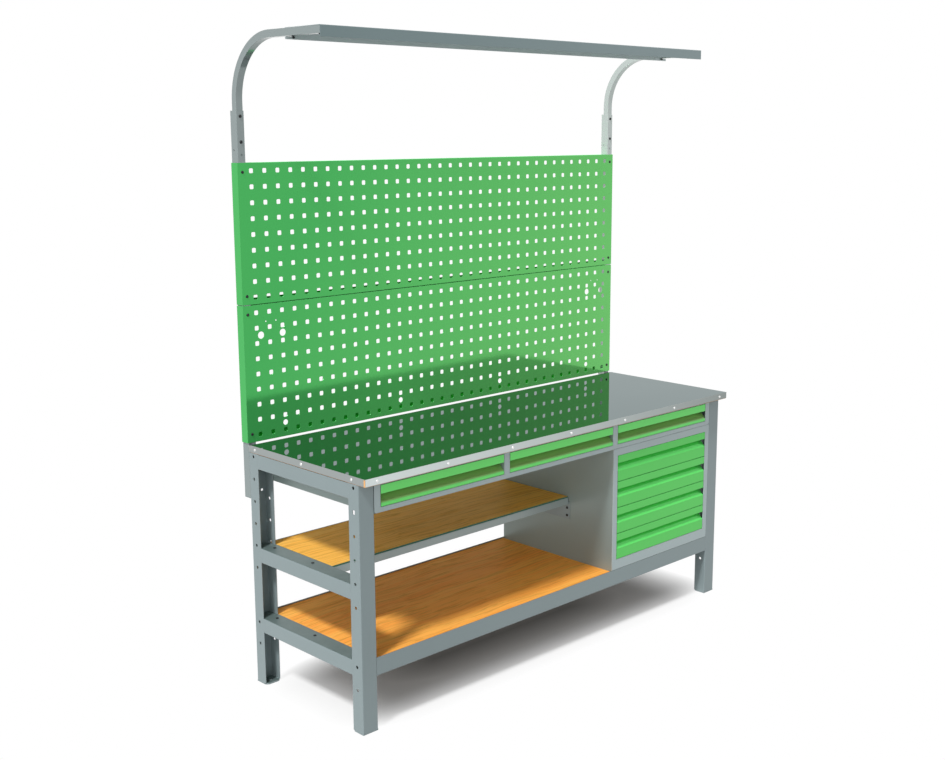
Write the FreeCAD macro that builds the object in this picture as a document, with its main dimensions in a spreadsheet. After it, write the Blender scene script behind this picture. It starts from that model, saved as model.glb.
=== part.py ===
import FreeCAD, Part
import math
import os
import re
import Sketcher

# A steel workbench: four channel legs, a sheet-covered top, a half-depth shelf and a full-depth
# shelf, three drawers under the top, a pedestal of four drawers, and a perforated back panel on
# two uprights that also carry an overhead lamp rail on two bent arms.
# Millimetres. X runs along the bench, Y from front to back, Z up, with the floor at Z = 0 and
# the origin in the middle of the bench.

SIZES = {
    # Worktop
    "bench_length": 1796, "bench_depth": 590, "bench_height": 818,
    "left_edge": -898, "front_edge": -316,
    "cover_sheet": 1.5, "cover_fold": 23, "cover_front_gap": 8, "cover_tail": 10,
    "board_underside": 793.5,
    "cover_screw_level": 806, "cover_screw_pitch": 284.2, "side_screw_first": 65, "side_screw_pitch": 250,
    "cover_screw_head": 4.8, "cover_screw_proud": 2, "cover_screw_shank": 2, "cover_screw_depth": 14,
    "pilot_radius": 2.3,
    # Frame
    "frame_sheet": 2, "bend_radius": 2.5,
    "leg_width": 58, "leg_depth": 48, "leg_inset": 1.5, "leg_setback": 35.5,
    "foot_thickness": 5, "foot_length": 53, "foot_corner": 14, "anchor_in": 36, "anchor_radius": 5.5,
    "leg_hole_radius": 5.2, "leg_hole_top": 781, "leg_hole_pitch": 75, "leg_slot_half": 3.5,
    "leg_hole_low": 141, "post_hole_offset": 14.5,
    "back_plane": 601.2,
    "rail_height": 50, "rail_flange": 58.5,
    "top_rail_level": 743, "mid_rail_level": 426.5, "low_rail_level": 183.5,
    "rail_screw_in": 34.5, "rail_screw_offset": 206.5,
    "face_rail_level": 178, "face_rail_height": 59, "face_rail_ledge": 37, "ledge_depth": 42,
    "face_rail_return": 30, "rear_rail_depth": 40,
    # Shelves
    "board_thickness": 18, "bottom_board_top": 233, "shelf_board_top": 476,
    "shelf_left": 61, "shelf_front": 252, "shelf_back": 592, "shelf_lip_base": 445, "shelf_lip_top": 470.5,
    "tray_sheet": 1.5, "tray_flange_left": 6, "tray_right": 1162.5, "tray_end_gap": 2,
    "bracket_base": 388, "bracket_ledge": 40, "bracket_front": 244, "bracket_back": 588,
    "bracket_ledge_in": 10,
    "bracket_bolt_low": 402, "bracket_bolt_high": 431, "bracket_bolt_in": 13,
    # Drawers and their cases
    "case_sheet": 1.2, "frame_plate": 2,
    "opening_width": 525, "stile_pitch": 550,
    "cassette_left": 61.5, "cassette_width": 1673, "cassette_base": 694, "cassette_back": 560,
    "cassette_stile": 24, "cassette_sill": 15.5, "cassette_opening": 70, "cassette_corner": 8,
    "spacer_height": 30, "spacer_front": 60, "spacer_back": 540,
    "pedestal_left": 1165, "pedestal_width": 570.5, "pedestal_base": 233, "pedestal_top": 693,
    "pedestal_face_lift": 5,
    "pedestal_back": 595, "pedestal_stile": 23, "pedestal_sill": 42, "pedestal_opening": 392.5,
    "post_front": 50, "post_rear": 500, "post_depth": 30,
    "drawer_pitch": 98.1, "drawer_side_gap": 2, "drawer_gap": 1.5,
    "top_front_height": 67, "top_box_height": 52, "low_front_height": 95.6, "low_box_height": 75,
    "front_sheet": 1.2, "front_band": 27, "groove_depth": 26, "groove_slope": 30, "front_return": 30,
    "box_length": 491, "box_sheet": 1,
    "runner_gap": 12.7, "runner_front": 67, "runner_length": 481, "runner_height": 34,
    "runner_lip": 9, "slide_clearance": 0.3, "slide_front": 69, "slide_length": 471,
    "top_runner_level": 9, "low_runner_level": 20,
    # Back panel and uprights
    "upright_inset": 2, "upright_width": 28, "upright_depth": 32.8, "upright_base": 636,
    "upright_height": 1245, "upright_hole": 4.3,
    "post_bolt_low": 658, "post_bolt_high": 766, "arm_bolt_low": 1785, "arm_bolt_high": 1864,
    "web_hole_level": 1745, "web_hole_radius": 3.5, "flange_hole_level": 1759, "flange_hole_in": 21,
    "panel_length": 1800, "panel_height": 448, "panel_sheet": 1.2, "panel_depth": 33.5, "panel_face": 600,
    "lower_panel_base": 822.3, "upper_panel_base": 1273,
    "hole_pitch": 50, "hole_size": 15, "hole_corner": 2.5, "first_column": 50, "first_row": 23,
    "hole_columns": 35, "hole_rows": 9,
    "panel_lip": 17, "lower_panel_lip": 24, "panel_flange_inset": 34.5,
    "panel_screw_low": 27.5, "panel_screw_high": 419, "panel_screw_head": 5, "panel_screw_shank": 2.8,
    "panel_head_height": 2.5,
    "outlet_near": 750, "outlet_far": 834.5, "outlet_level": 348.7, "outlet_radius": 11.8,
    "outlet_screw_near": 775.25, "outlet_screw_far": 814.15, "outlet_screw_level": 391.7,
    "outlet_screw_radius": 2.5,
    "low_hole_near": 250, "low_hole_far": 750, "low_hole_level": 47.2, "low_hole_radius": 9.3,
    # Lamp arms and lamp rail
    "arm_width": 23.4, "arm_depth": 22.5, "arm_wall": 1.5, "arm_base": 1735, "arm_straight": 175,
    "arm_bend": 193.75, "arm_reach": 253, "arm_clearance": 0.3, "arm_side_inset": 4.3,
    "lamp_rail_left": 4, "lamp_rail_length": 1788, "lamp_rail_front": 165, "lamp_rail_depth": 170,
    "lamp_rail_base": 2083, "lamp_rail_height": 33.5, "lamp_rail_sheet": 1.5,
    "lamp_rail_screw_in": 15, "lamp_rail_screw_side": 32.5, "lamp_rail_screw_lift": 6,
    # Bolts
    "bolt_radius": 4, "bolt_head": 7.2, "bolt_head_height": 5, "bolt_hole": 4.3,
    "post_bolt_length": 16, "nut_height": 6,
    "screw_radius": 3, "screw_head": 5.2, "screw_head_height": 3, "screw_hole": 3.3,
    "screw_length": 12, "short_screw_length": 8, "drill_length": 60,
}

doc = FreeCAD.newDocument("workbench")
dims = doc.addObject("Spreadsheet::Sheet", "dims")
for row, (alias, number) in enumerate(SIZES.items(), start=1):
    dims.set("A%d" % row, alias)
    dims.set("B%d" % row, str(number))
    dims.setAlias("B%d" % row, alias)
doc.recompute()

subparts = []
WORD = re.compile(r"[a-z][a-z_]*")


def formula(text):
    """Put the sheet's name in front of each of its aliases."""
    return WORD.sub(lambda word: "dims." + word.group(0), str(text))


def bind(item, **formulas):
    """Bind properties to formulas on the sheet; x, y and z bind the placement."""
    for name, text in formulas.items():
        target = "Placement.Base." + name if name in ("x", "y", "z") else name
        item.setExpression(target, formula(text))


def plate(name, x, y, z, length, width, height):
    """A flat rectangular piece with its low corner at x, y, z."""
    item = doc.addObject("Part::Box", name)
    bind(item, x=x, y=y, z=z, Length=length, Width=width, Height=height)
    return item


TURNS = {
    "+Z": FreeCAD.Rotation(),
    "-Z": FreeCAD.Rotation(FreeCAD.Vector(1, 0, 0), 180),
    "+X": FreeCAD.Rotation(FreeCAD.Vector(0, 1, 0), 90),
    "-X": FreeCAD.Rotation(FreeCAD.Vector(0, 1, 0), -90),
    "+Y": FreeCAD.Rotation(FreeCAD.Vector(1, 0, 0), -90),
    "-Y": FreeCAD.Rotation(FreeCAD.Vector(1, 0, 0), 90),
}


def rod(name, radius, length, x, y, z, towards):
    """A round bar that starts at x, y, z and runs towards one of the six directions."""
    item = doc.addObject("Part::Cylinder", name)
    item.Placement = FreeCAD.Placement(FreeCAD.Vector(), TURNS[towards])
    bind(item, x=x, y=y, z=z, Radius=radius, Height=length)
    return item


def hexagon(name, radius, length, x, y, z, towards):
    """A six-sided bolt head or nut."""
    item = doc.addObject("Part::Prism", name)
    item.Polygon = 6
    item.Placement = FreeCAD.Placement(FreeCAD.Vector(), TURNS[towards])
    bind(item, x=x, y=y, z=z, Circumradius=radius, Height=length)
    return item


def joined(name, pieces):
    """Pieces welded or folded into one solid."""
    item = doc.addObject("Part::MultiFuse", name)
    item.Shapes = pieces
    item.Refine = True
    return item


def gathered(name, pieces):
    """Separate solids that share one node."""
    item = doc.addObject("Part::Compound", name)
    item.Links = pieces
    return item


def cut(name, base, tools):
    """A piece with holes or notches taken out of it."""
    item = doc.addObject("Part::Cut", name)
    item.Base = base
    item.Tool = tools[0] if len(tools) == 1 else gathered(name + "_holes", tools)
    return item


def finished(item, label):
    """Name a sub-part and put it on the list of those that are written out."""
    item.Label = label
    subparts.append(item)
    return item


def datum(sketch, kind, place, text):
    """One driving dimension of a sketch, bound to the sheet."""
    index = sketch.addConstraint(Sketcher.Constraint(kind, *place, 1.0))
    sketch.setExpression("Constraints[%d]" % index, formula(text))


def new_sketch(body, name, plane):
    """A sketch on one of the body's own origin planes."""
    sketch = body.newObject("Sketcher::SketchObject", name)
    origin_plane = [item for item in body.Origin.OriginFeatures if item.Role == plane][0]
    sketch.AttachmentSupport = (origin_plane, [""])
    sketch.MapMode = "FlatFace"
    return sketch


def add_outline(sketch, corners):
    """A closed outline of straight lines, each corner placed by two bound dimensions."""
    first = sketch.GeometryCount
    count = len(corners)
    points = []
    for index in range(count):
        angle = 2 * math.pi * index / count
        points.append(FreeCAD.Vector(50 * math.cos(angle), 50 * math.sin(angle), 0))
    for index in range(count):
        sketch.addGeometry(Part.LineSegment(points[index], points[(index + 1) % count]))
    for index in range(count):
        sketch.addConstraint(Sketcher.Constraint(
            "Coincident", first + index, 2, first + (index + 1) % count, 1))
    for index, (across, up) in enumerate(corners):
        datum(sketch, "DistanceX", (-1, 1, first + index, 1), across)
        datum(sketch, "DistanceY", (-1, 1, first + index, 1), up)


def add_rectangle(sketch, left, base, right, top):
    """A rectangle between two bound corners."""
    add_outline(sketch, [(left, base), (right, base), (right, top), (left, top)])


def add_circle(sketch, across, up, radius):
    """A circle with a bound centre and radius."""
    index = sketch.addGeometry(Part.Circle(FreeCAD.Vector(1, 1, 0), FreeCAD.Vector(0, 0, 1), 1))
    datum(sketch, "DistanceX", (-1, 1, index, 3), across)
    datum(sketch, "DistanceY", (-1, 1, index, 3), up)
    datum(sketch, "Radius", (index,), radius)


def new_body(name, x, y, z, turned=False):
    """A body at x, y, z, turned half round about the vertical if asked."""
    body = doc.addObject("PartDesign::Body", name)
    if turned:
        body.Placement = FreeCAD.Placement(
            FreeCAD.Vector(), FreeCAD.Rotation(FreeCAD.Vector(0, 0, 1), 180))
    bind(body, x=x, y=y, z=z)
    return body


def pad(body, sketch, length, backwards=False):
    """Give a sketch its thickness."""
    item = body.newObject("PartDesign::Pad", sketch.Name + "_pad")
    item.Profile = sketch
    item.Reversed = backwards
    bind(item, Length=length)
    return item


def pierce(body, sketch, backwards):
    """Cut a sketch right through the body, and make sure that it took something away."""
    doc.recompute()
    before = body.Shape.Volume
    item = body.newObject("PartDesign::Pocket", sketch.Name + "_pocket")
    item.Profile = sketch
    item.Type = "ThroughAll"
    item.Reversed = backwards
    doc.recompute()
    if body.Shape.Volume > before - 1:
        raise RuntimeError(item.Name + " cuts nothing")
    return item


ALONG_X = FreeCAD.Vector(1, 0, 0)
ALONG_Y = FreeCAD.Vector(0, 1, 0)
ALONG_Z = FreeCAD.Vector(0, 0, 1)


def round_corners(body, base, radius, along, wanted):
    """Round the edges of a feature that run along an axis and start at a wanted point."""
    doc.recompute()
    chosen = []
    for number, edge in enumerate(base.Shape.Edges, start=1):
        ends = [vertex.Point for vertex in edge.Vertexes]
        if abs((ends[-1] - ends[0]).dot(along)) > edge.Length - 0.01 and wanted(ends[0]):
            chosen.append("Edge%d" % number)
    if not chosen:
        raise RuntimeError(body.Name + " has no such edges")
    item = body.newObject("PartDesign::Fillet", body.Name + "_bends")
    item.Base = (base, chosen)
    bind(item, Radius=radius)
    return item


def size(alias):
    """A number from the sheet."""
    return float(dims.get(alias))


def near(first, second):
    """Whether two places agree."""
    return abs(first - second) < 0.01


# Worktop: a board under a folded sheet cover, held by screws through the folds
def worktop():
    board = plate("board_blank", "left_edge + cover_sheet", "front_edge + cover_sheet", "board_underside",
                  "bench_length - 2 * cover_sheet", "bench_depth - 2 * cover_sheet",
                  "bench_height - cover_sheet - board_underside")
    skin = plate("cover_top", "left_edge", "front_edge", "bench_height - cover_sheet",
                 "bench_length", "bench_depth", "cover_sheet")
    fold_level = "bench_height - cover_fold"
    folds = [skin]
    for end, y in (("front", "front_edge"), ("rear", "front_edge + bench_depth - cover_sheet")):
        folds.append(plate("cover_fold_" + end, "left_edge + cover_sheet", y, fold_level,
                           "bench_length - 2 * cover_sheet", "cover_sheet", "cover_fold - cover_sheet"))
    for end, x in (("left", "left_edge"), ("right", "left_edge + bench_length - cover_sheet")):
        folds.append(plate("cover_fold_" + end, x, "front_edge + cover_front_gap", fold_level,
                           "cover_sheet", "bench_depth - cover_front_gap + cover_tail",
                           "cover_fold - cover_sheet"))
    places = []
    for index in range(7):
        places.append(("%d * cover_screw_pitch" % (index - 3), "front_edge", "+Y"))
    for index in range(3):
        y = "front_edge + side_screw_first + %d * side_screw_pitch" % index
        places.append(("left_edge", y, "+X"))
        places.append(("left_edge + bench_length", y, "-X"))
    pilots = []
    screws = []
    opposite = {"+Y": "-Y", "+X": "-X", "-X": "+X"}
    for index, (x, y, inwards) in enumerate(places):
        tag = "cover_%02d_" % index
        pilots.append(rod(tag + "pilot", "pilot_radius", "cover_screw_depth + 1", x, y,
                          "cover_screw_level", inwards))
        shank = rod(tag + "shank", "cover_screw_shank", "cover_screw_depth", x, y,
                    "cover_screw_level", inwards)
        head = rod(tag + "head", "cover_screw_head", "cover_screw_proud", x, y,
                   "cover_screw_level", opposite[inwards])
        screws.append(joined(tag + "screw", [shank, head]))
    holes = gathered("cover_pilots", pilots)
    finished(cut("worktop_board_cut", board, [holes]), "worktop_board")
    finished(cut("worktop_cover_cut", joined("cover_folded", folds), [holes]), "worktop_cover")
    finished(gathered("cover_screws", screws), "worktop_screws")


def channel_corners(width, depth, sheet):
    """A channel seen end on: the web lies along the first axis, the flanges stand off it."""
    return [("0", "0"), (width, "0"), (width, depth), (width + " - " + sheet, depth),
            (width + " - " + sheet, sheet), (sheet, sheet), (sheet, depth), ("0", depth)]


# Legs: open channels, the webs outwards at the front and at the back
def leg(label, x, y, rear):
    body = new_body(label + "_body", x, y, "foot_thickness", rear)
    sketch = new_sketch(body, label + "_section", "XY_Plane")
    add_outline(sketch, channel_corners("leg_width", "leg_depth", "frame_sheet"))
    blank = pad(body, sketch, "board_underside - foot_thickness")
    width = size("leg_width")
    round_corners(body, blank, "bend_radius", ALONG_Z,
                  lambda point: near(point.y, 0) and (near(point.x, 0) or near(point.x, width)))
    holes = new_sketch(body, label + "_flange_holes", "YZ_Plane")
    levels = ["leg_hole_top - %d * leg_hole_pitch" % index for index in (0, 2, 3, 4, 5)]
    levels += ["leg_hole_low + leg_hole_pitch", "leg_hole_low"]
    for level in levels:
        add_circle(holes, "leg_depth / 2", level + " - foot_thickness", "leg_hole_radius")
    second_level = "leg_hole_top - leg_hole_pitch"
    if not rear:
        # The second hole of a front leg is a slot through both flanges
        add_rectangle(holes, "leg_depth / 2 - leg_hole_radius",
                      second_level + " - foot_thickness - 2 * leg_slot_half",
                      "leg_depth / 2 + leg_hole_radius",
                      second_level + " - foot_thickness + 2 * leg_slot_half")
    pierce(body, holes, True)
    if not rear:
        finished(body, label)
        return
    web = new_sketch(body, label + "_web_holes", "XZ_Plane")
    for level in ("post_bolt_low", "post_bolt_high"):
        for side in ("-", "+"):
            add_circle(web, "leg_width / 2 %s post_hole_offset" % side,
                       level + " - foot_thickness", "bolt_hole")
    pierce(body, web, False)
    # The second hole of a rear leg goes through its outer flange only
    if "right" in label:
        start, inwards = x + " + 1", "-X"
    else:
        start, inwards = x + " - leg_width - 1", "+X"
    side_hole = rod(label + "_side_hole", "leg_hole_radius", "frame_sheet + 2", start,
                    y + " - leg_depth / 2", second_level, inwards)
    finished(cut(label + "_cut", body, [side_hole]), label)


def foot_plate(name, x, y, rear):
    """A plate under a leg, rounded where it stands out of the channel's open side."""
    body = new_body(name, x, y, "0", rear)
    sketch = new_sketch(body, name + "_outline", "XY_Plane")
    add_rectangle(sketch, "0", "0", "leg_width", "foot_length")
    add_circle(sketch, "leg_width / 2", "anchor_in", "anchor_radius")
    blank = pad(body, sketch, "foot_thickness")
    length = size("foot_length")
    round_corners(body, blank, "foot_corner", ALONG_Z, lambda point: near(point.y, length))
    return body


def legs_and_feet():
    left = "left_edge + leg_inset"
    right = "left_edge + bench_length - leg_inset"
    front = "front_edge + leg_setback"
    back = "front_edge + back_plane"
    corners = [("front_left", left, front, False), ("front_right", right + " - leg_width", front, False),
               ("rear_left", left + " + leg_width", back, True), ("rear_right", right, back, True)]
    feet = []
    for name, x, y, rear in corners:
        leg(name + "_leg", x, y, rear)
        feet.append(foot_plate(name + "_foot", x, y, rear))
    finished(gathered("feet", feet), "foot_plates")


# End rails: channels between the front and rear legs, their flanges tongued into the legs
def end_rail(label, level, right, screwed):
    run = "(back_plane - leg_setback - 2 * frame_sheet)"
    x = "left_edge + bench_length - leg_inset" if right else "left_edge + leg_inset"
    y = "front_edge + back_plane - frame_sheet" if right else "front_edge + leg_setback + frame_sheet"
    body = new_body(label + "_body", x, y, level, right)
    sketch = new_sketch(body, label + "_section", "XZ_Plane")
    add_outline(sketch, [(up, across) for across, up in
                         channel_corners("rail_height", "rail_flange", "frame_sheet")])
    blank = pad(body, sketch, run, True)
    height = size("rail_height")
    round_corners(body, blank, "bend_radius", ALONG_Y,
                  lambda point: near(point.x, 0) and (near(point.z, 0) or near(point.z, height)))
    sign = "-" if right else "+"
    outside = "left_edge + bench_length - leg_inset - frame_sheet" if right else "left_edge"
    inside = ("left_edge + bench_length - leg_inset - rail_flange - 1" if right
              else "left_edge + leg_inset + leg_width - frame_sheet")
    notches = []
    for end, start, depth in (
            ("front", "front_edge + leg_setback", "leg_depth"),
            ("rear", "front_edge + back_plane - leg_depth", "leg_depth")):
        notches.append(plate("%s_%s_web_notch" % (label, end), outside, start, level + " - 1",
                             "leg_inset + frame_sheet", depth, "rail_height + 2"))
        notches.append(plate("%s_%s_edge_notch" % (label, end), inside, start, level + " - 1",
                             "rail_flange - leg_width + frame_sheet + 1", depth, "rail_height + 2"))
    if screwed:
        for index in (-1, 0, 1):
            notches.append(rod("%s_hole_%d" % (label, index + 1), "screw_hole", "frame_sheet + 2",
                               "%s %s rail_screw_in" % (x, sign),
                               "front_edge + (leg_setback + back_plane) / 2 + %d * rail_screw_offset" % index,
                               level + " + rail_height - frame_sheet - 1", "+Z"))
    finished(cut(label + "_cut", body, notches), label)


# Long rails: the lower pair carries the bottom shelf on a ledge, the top one ties the rear legs
def long_rail(label, level, corners, rear, rounded):
    x = "left_edge + leg_inset + leg_width"
    y = "front_edge + leg_setback"
    if rear:
        x = "left_edge + bench_length - leg_inset - leg_width"
        y = "front_edge + back_plane"
    body = new_body(label + "_body", x, y, level, rear)
    sketch = new_sketch(body, label + "_section", "YZ_Plane")
    add_outline(sketch, corners)
    blank = pad(body, sketch, "bench_length - 2 * leg_inset - 2 * leg_width")
    round_corners(body, blank, "bend_radius", ALONG_X,
                  lambda point: near(point.y, 0) and any(near(point.z, place) for place in rounded))
    finished(body, label)


def rails(bracket_bolts):
    for side, right in (("left", False), ("right", True)):
        end_rail(side + "_top_rail", "top_rail_level", right, False)
        end_rail(side + "_mid_rail", "mid_rail_level", right, True)
        end_rail(side + "_bottom_rail", "low_rail_level", right, True)
    face = [("0", "0"), ("face_rail_return", "0"), ("face_rail_return", "frame_sheet"),
            ("frame_sheet", "frame_sheet"), ("frame_sheet", "face_rail_ledge - frame_sheet"),
            ("ledge_depth", "face_rail_ledge - frame_sheet"), ("ledge_depth", "face_rail_ledge"),
            ("frame_sheet", "face_rail_ledge"), ("frame_sheet", "face_rail_height"),
            ("0", "face_rail_height")]
    long_rail("front_lower_rail", "face_rail_level", face, False, (0,))
    long_rail("rear_lower_rail", "face_rail_level", face, True, (0,))
    tie = [(up, across) for across, up in channel_corners("rail_height", "rear_rail_depth", "frame_sheet")]
    long_rail("rear_top_rail", "top_rail_level", tie, True, (0, size("rail_height")))
    screws = []
    for side, x in (("left", "left_edge + leg_inset + rail_screw_in"),
                    ("right", "left_edge + bench_length - leg_inset - rail_screw_in")):
        for name, level in (("mid", "mid_rail_level"), ("low", "low_rail_level")):
            for index in (-1, 0, 1):
                tag = "%s_%s_%d_" % (side, name, index + 1)
                y = "front_edge + (leg_setback + back_plane) / 2 + %d * rail_screw_offset" % index
                z = level + " + rail_height"
                screws.append(joined(tag + "rail_screw", [
                    rod(tag + "head", "screw_head", "screw_head_height", x, y, z, "+Z"),
                    rod(tag + "shank", "screw_radius", "screw_length", x, y, z, "-Z")]))
    finished(gathered("rail_screws_all", screws + bracket_bolts), "shelf_screws")


# Shelves: ply boards, the upper one half as deep and set in a folded tray
def shelves():
    gap = "1"
    finished(plate("bottom_board", "left_edge + shelf_left",
                   "front_edge + leg_setback + frame_sheet + " + gap, "bottom_board_top - board_thickness",
                   "bench_length - 2 * shelf_left",
                   "back_plane - leg_setback - 2 * frame_sheet - 2 * " + gap, "board_thickness"),
             "bottom_shelf_board")
    left = "left_edge + shelf_left"
    under = "shelf_board_top - board_thickness"
    width = "tray_right - shelf_left"
    finished(plate("mid_board", left + " + tray_sheet", "front_edge + shelf_front + tray_sheet", under,
                   width + " - tray_sheet", "shelf_back - shelf_front - 2 * tray_sheet", "board_thickness"),
             "mid_shelf_board")
    flange_level = "mid_rail_level + rail_height - frame_sheet - tray_sheet"
    tray = [
        plate("tray_floor", left, "front_edge + shelf_front", under + " - tray_sheet",
              width, "shelf_back - shelf_front", "tray_sheet"),
        plate("tray_lip", left, "front_edge + shelf_front", "shelf_lip_base",
              width, "tray_sheet", "shelf_lip_top - shelf_lip_base"),
        plate("tray_back", left, "front_edge + shelf_back - tray_sheet", under + " - tray_sheet",
              width, "tray_sheet", "board_thickness + 2 * tray_sheet"),
        plate("tray_side", left, "front_edge + shelf_front", under + " - tray_sheet",
              "tray_sheet", "shelf_back - shelf_front", "mid_rail_level + rail_height - frame_sheet"
              " - shelf_board_top + board_thickness + tray_sheet"),
        plate("tray_flange", "left_edge + leg_inset + tray_flange_left", "front_edge + shelf_front",
              flange_level, "shelf_left - leg_inset - tray_flange_left",
              "back_plane - leg_depth - shelf_front - tray_end_gap", "tray_sheet"),
    ]
    holes = []
    for index in (0, 1):
        holes.append(rod("tray_hole_%d" % index, "screw_hole", "6", "left_edge + leg_inset + rail_screw_in",
                         "front_edge + (leg_setback + back_plane) / 2 + %d * rail_screw_offset" % index,
                         flange_level + " - 2", "+Z"))
    finished(cut("tray_cut", joined("tray_folded", tray), holes), "mid_shelf_tray")
    back_of_plate = "left_edge + pedestal_left - frame_sheet"
    depth = "bracket_back - bracket_front"
    top = under + " - tray_sheet"
    angle = joined("bracket_angle", [
        plate("bracket_web", back_of_plate, "front_edge + bracket_front", "bracket_base",
              "frame_sheet", depth, top + " - bracket_base"),
        plate("bracket_ledge_plate", "left_edge + pedestal_left - bracket_ledge",
              "front_edge + bracket_front + bracket_ledge_in", top + " - frame_sheet",
              "bracket_ledge", depth + " - bracket_ledge_in", "frame_sheet")])
    bolts = []
    holes = []
    for row, level in enumerate(("bracket_bolt_low", "bracket_bolt_high")):
        for column, y in enumerate(("bracket_front + bracket_bolt_in", "bracket_back - bracket_bolt_in")):
            tag = "bracket_%d%d_" % (row, column)
            place = ("front_edge + " + y, level)
            holes.append(rod(tag + "hole", "screw_hole", "12", back_of_plate + " - 4", *place, "+X"))
            bolts.append(joined(tag + "bolt", [
                rod(tag + "head", "screw_head", "screw_head_height", back_of_plate, *place, "-X"),
                rod(tag + "shank", "screw_radius", "short_screw_length", back_of_plate, *place, "+X")]))
    bracket_holes = gathered("bracket_holes_all", holes)
    finished(cut("bracket_cut", angle, [bracket_holes]), "mid_shelf_bracket")
    return bracket_holes, bolts


# Front frames: flat plates with the drawer openings cut in them
def front_frame(label, x, z, width, height, openings, corner):
    body = new_body(label + "_body", "left_edge + " + x, "front_edge + leg_setback", z)
    sketch = new_sketch(body, label + "_outline", "XZ_Plane")
    add_rectangle(sketch, "0", "0", width, height)
    for left, base, right, top in openings:
        add_rectangle(sketch, left, base, right, top)
    blank = pad(body, sketch, "frame_plate", True)
    if corner:
        round_corners(body, blank, corner, ALONG_Y, lambda point: near(point.z, 0))
    finished(body, label)


def drawer_cases(bracket_holes):
    behind = "front_edge + leg_setback + frame_plate"
    openings = []
    for index in range(3):
        left = "cassette_stile + %d * stile_pitch" % index
        openings.append((left, "cassette_sill",
                         left + " + opening_width", "cassette_sill + cassette_opening"))
    front_frame("cassette_front_frame", "cassette_left", "cassette_base", "cassette_width",
                "board_underside - cassette_base", openings, "cassette_corner")
    left = "left_edge + cassette_left"
    depth = "cassette_back - leg_setback - frame_plate"
    height = "board_underside - cassette_base"
    floor_top = "cassette_base + case_sheet"
    wall_depth = depth + " - case_sheet"
    wall_height = height + " - case_sheet"
    walls = [
        plate("cassette_bottom", left, behind, "cassette_base", "cassette_width", depth, "case_sheet"),
        plate("cassette_rear", left, "front_edge + cassette_back - case_sheet", floor_top,
              "cassette_width", "case_sheet", wall_height),
        plate("cassette_left_side", left, behind, floor_top, "case_sheet", wall_depth, wall_height),
        plate("cassette_right_side", left + " + cassette_width - case_sheet", behind, floor_top,
              "case_sheet", wall_depth, wall_height),
    ]
    for index in (1, 2):
        stile = "left_edge + cassette_left + cassette_stile + %d * stile_pitch" % index
        walls.append(plate("divider_%d_right" % index, stile + " - case_sheet", behind, floor_top,
                           "case_sheet", wall_depth, wall_height))
        walls.append(plate("divider_%d_left" % index, stile + " - stile_pitch + opening_width", behind,
                           floor_top, "case_sheet", wall_depth, wall_height))
    spacer_base = ("cassette_base + cassette_sill + drawer_gap + top_runner_level"
                   " + (runner_height - spacer_height) / 2")
    spacer_run = "spacer_back - spacer_front"
    for side, start, face in (
            ("left", left + " + case_sheet", left + " + cassette_stile - case_sheet"),
            ("right", left + " + cassette_width - cassette_stile + case_sheet",
             left + " + cassette_width - cassette_stile")):
        walls.append(plate("spacer_%s_face" % side, face, "front_edge + spacer_front", spacer_base,
                           "case_sheet", spacer_run, "spacer_height"))
        for end, lift in (("low", "0"), ("high", "spacer_height - case_sheet")):
            walls.append(plate("spacer_%s_%s" % (side, end), start, "front_edge + spacer_front",
                               spacer_base + " + " + lift, "cassette_stile - 2 * case_sheet", spacer_run,
                               "case_sheet"))
    finished(gathered("cassette_welded", walls), "cassette_shell")

    sill = "pedestal_sill - pedestal_face_lift"
    front_frame("pedestal_front_frame", "pedestal_left", "pedestal_base + pedestal_face_lift",
                "pedestal_width", "pedestal_top - pedestal_base - pedestal_face_lift",
                [("pedestal_stile", sill, "pedestal_stile + opening_width",
                  sill + " + pedestal_opening")], None)
    left = "left_edge + pedestal_left"
    depth = "pedestal_back - leg_setback - frame_plate"
    height = "pedestal_top - pedestal_base"
    walls = [
        plate("pedestal_left_side", left, behind, "pedestal_base", "case_sheet", depth, height),
        plate("pedestal_right_side", left + " + pedestal_width - case_sheet", behind, "pedestal_base",
              "case_sheet", depth, height),
        plate("pedestal_rear", left, "front_edge + pedestal_back - case_sheet", "pedestal_base",
              "pedestal_width", "case_sheet", height),
        plate("pedestal_floor", left, behind, "pedestal_base", "pedestal_width", depth, "case_sheet"),
        plate("pedestal_roof", left, behind, "pedestal_top - case_sheet", "pedestal_width", depth,
              "case_sheet"),
    ]
    right_stile = left + " + pedestal_stile + opening_width"
    right_depth = "pedestal_width - pedestal_stile - opening_width"
    for end, y in (("front", "front_edge + post_front"), ("rear", "front_edge + post_rear")):
        for side, start, face, reach in (
                ("left", left, left + " + pedestal_stile - case_sheet", "pedestal_stile"),
                ("right", right_stile, right_stile, right_depth)):
            tag = "post_%s_%s_" % (side, end)
            walls.append(plate(tag + "face", face, y, "pedestal_base", "case_sheet", "post_depth", height))
            for edge, lift in (("near", "0"), ("far", "post_depth - case_sheet")):
                walls.append(plate(tag + edge, start, y + " + " + lift, "pedestal_base", reach,
                                   "case_sheet", height))
    finished(cut("pedestal_cut", joined("pedestal_welded", walls), [bracket_holes]), "pedestal_shell")


def strip(name, wall, facing, z, height, lip, y, length):
    """A shallow channel whose web stands on a wall and whose lips point along facing."""
    web = wall if facing > 0 else wall + " - case_sheet"
    lips = wall if facing > 0 else wall + " - " + lip
    return joined(name, [
        plate(name + "_web", web, y, z, "case_sheet", length, height),
        plate(name + "_low", lips, y, z, lip, length, "case_sheet"),
        plate(name + "_high", lips, y, z + " + " + height + " - case_sheet", lip, length, "case_sheet")])


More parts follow.
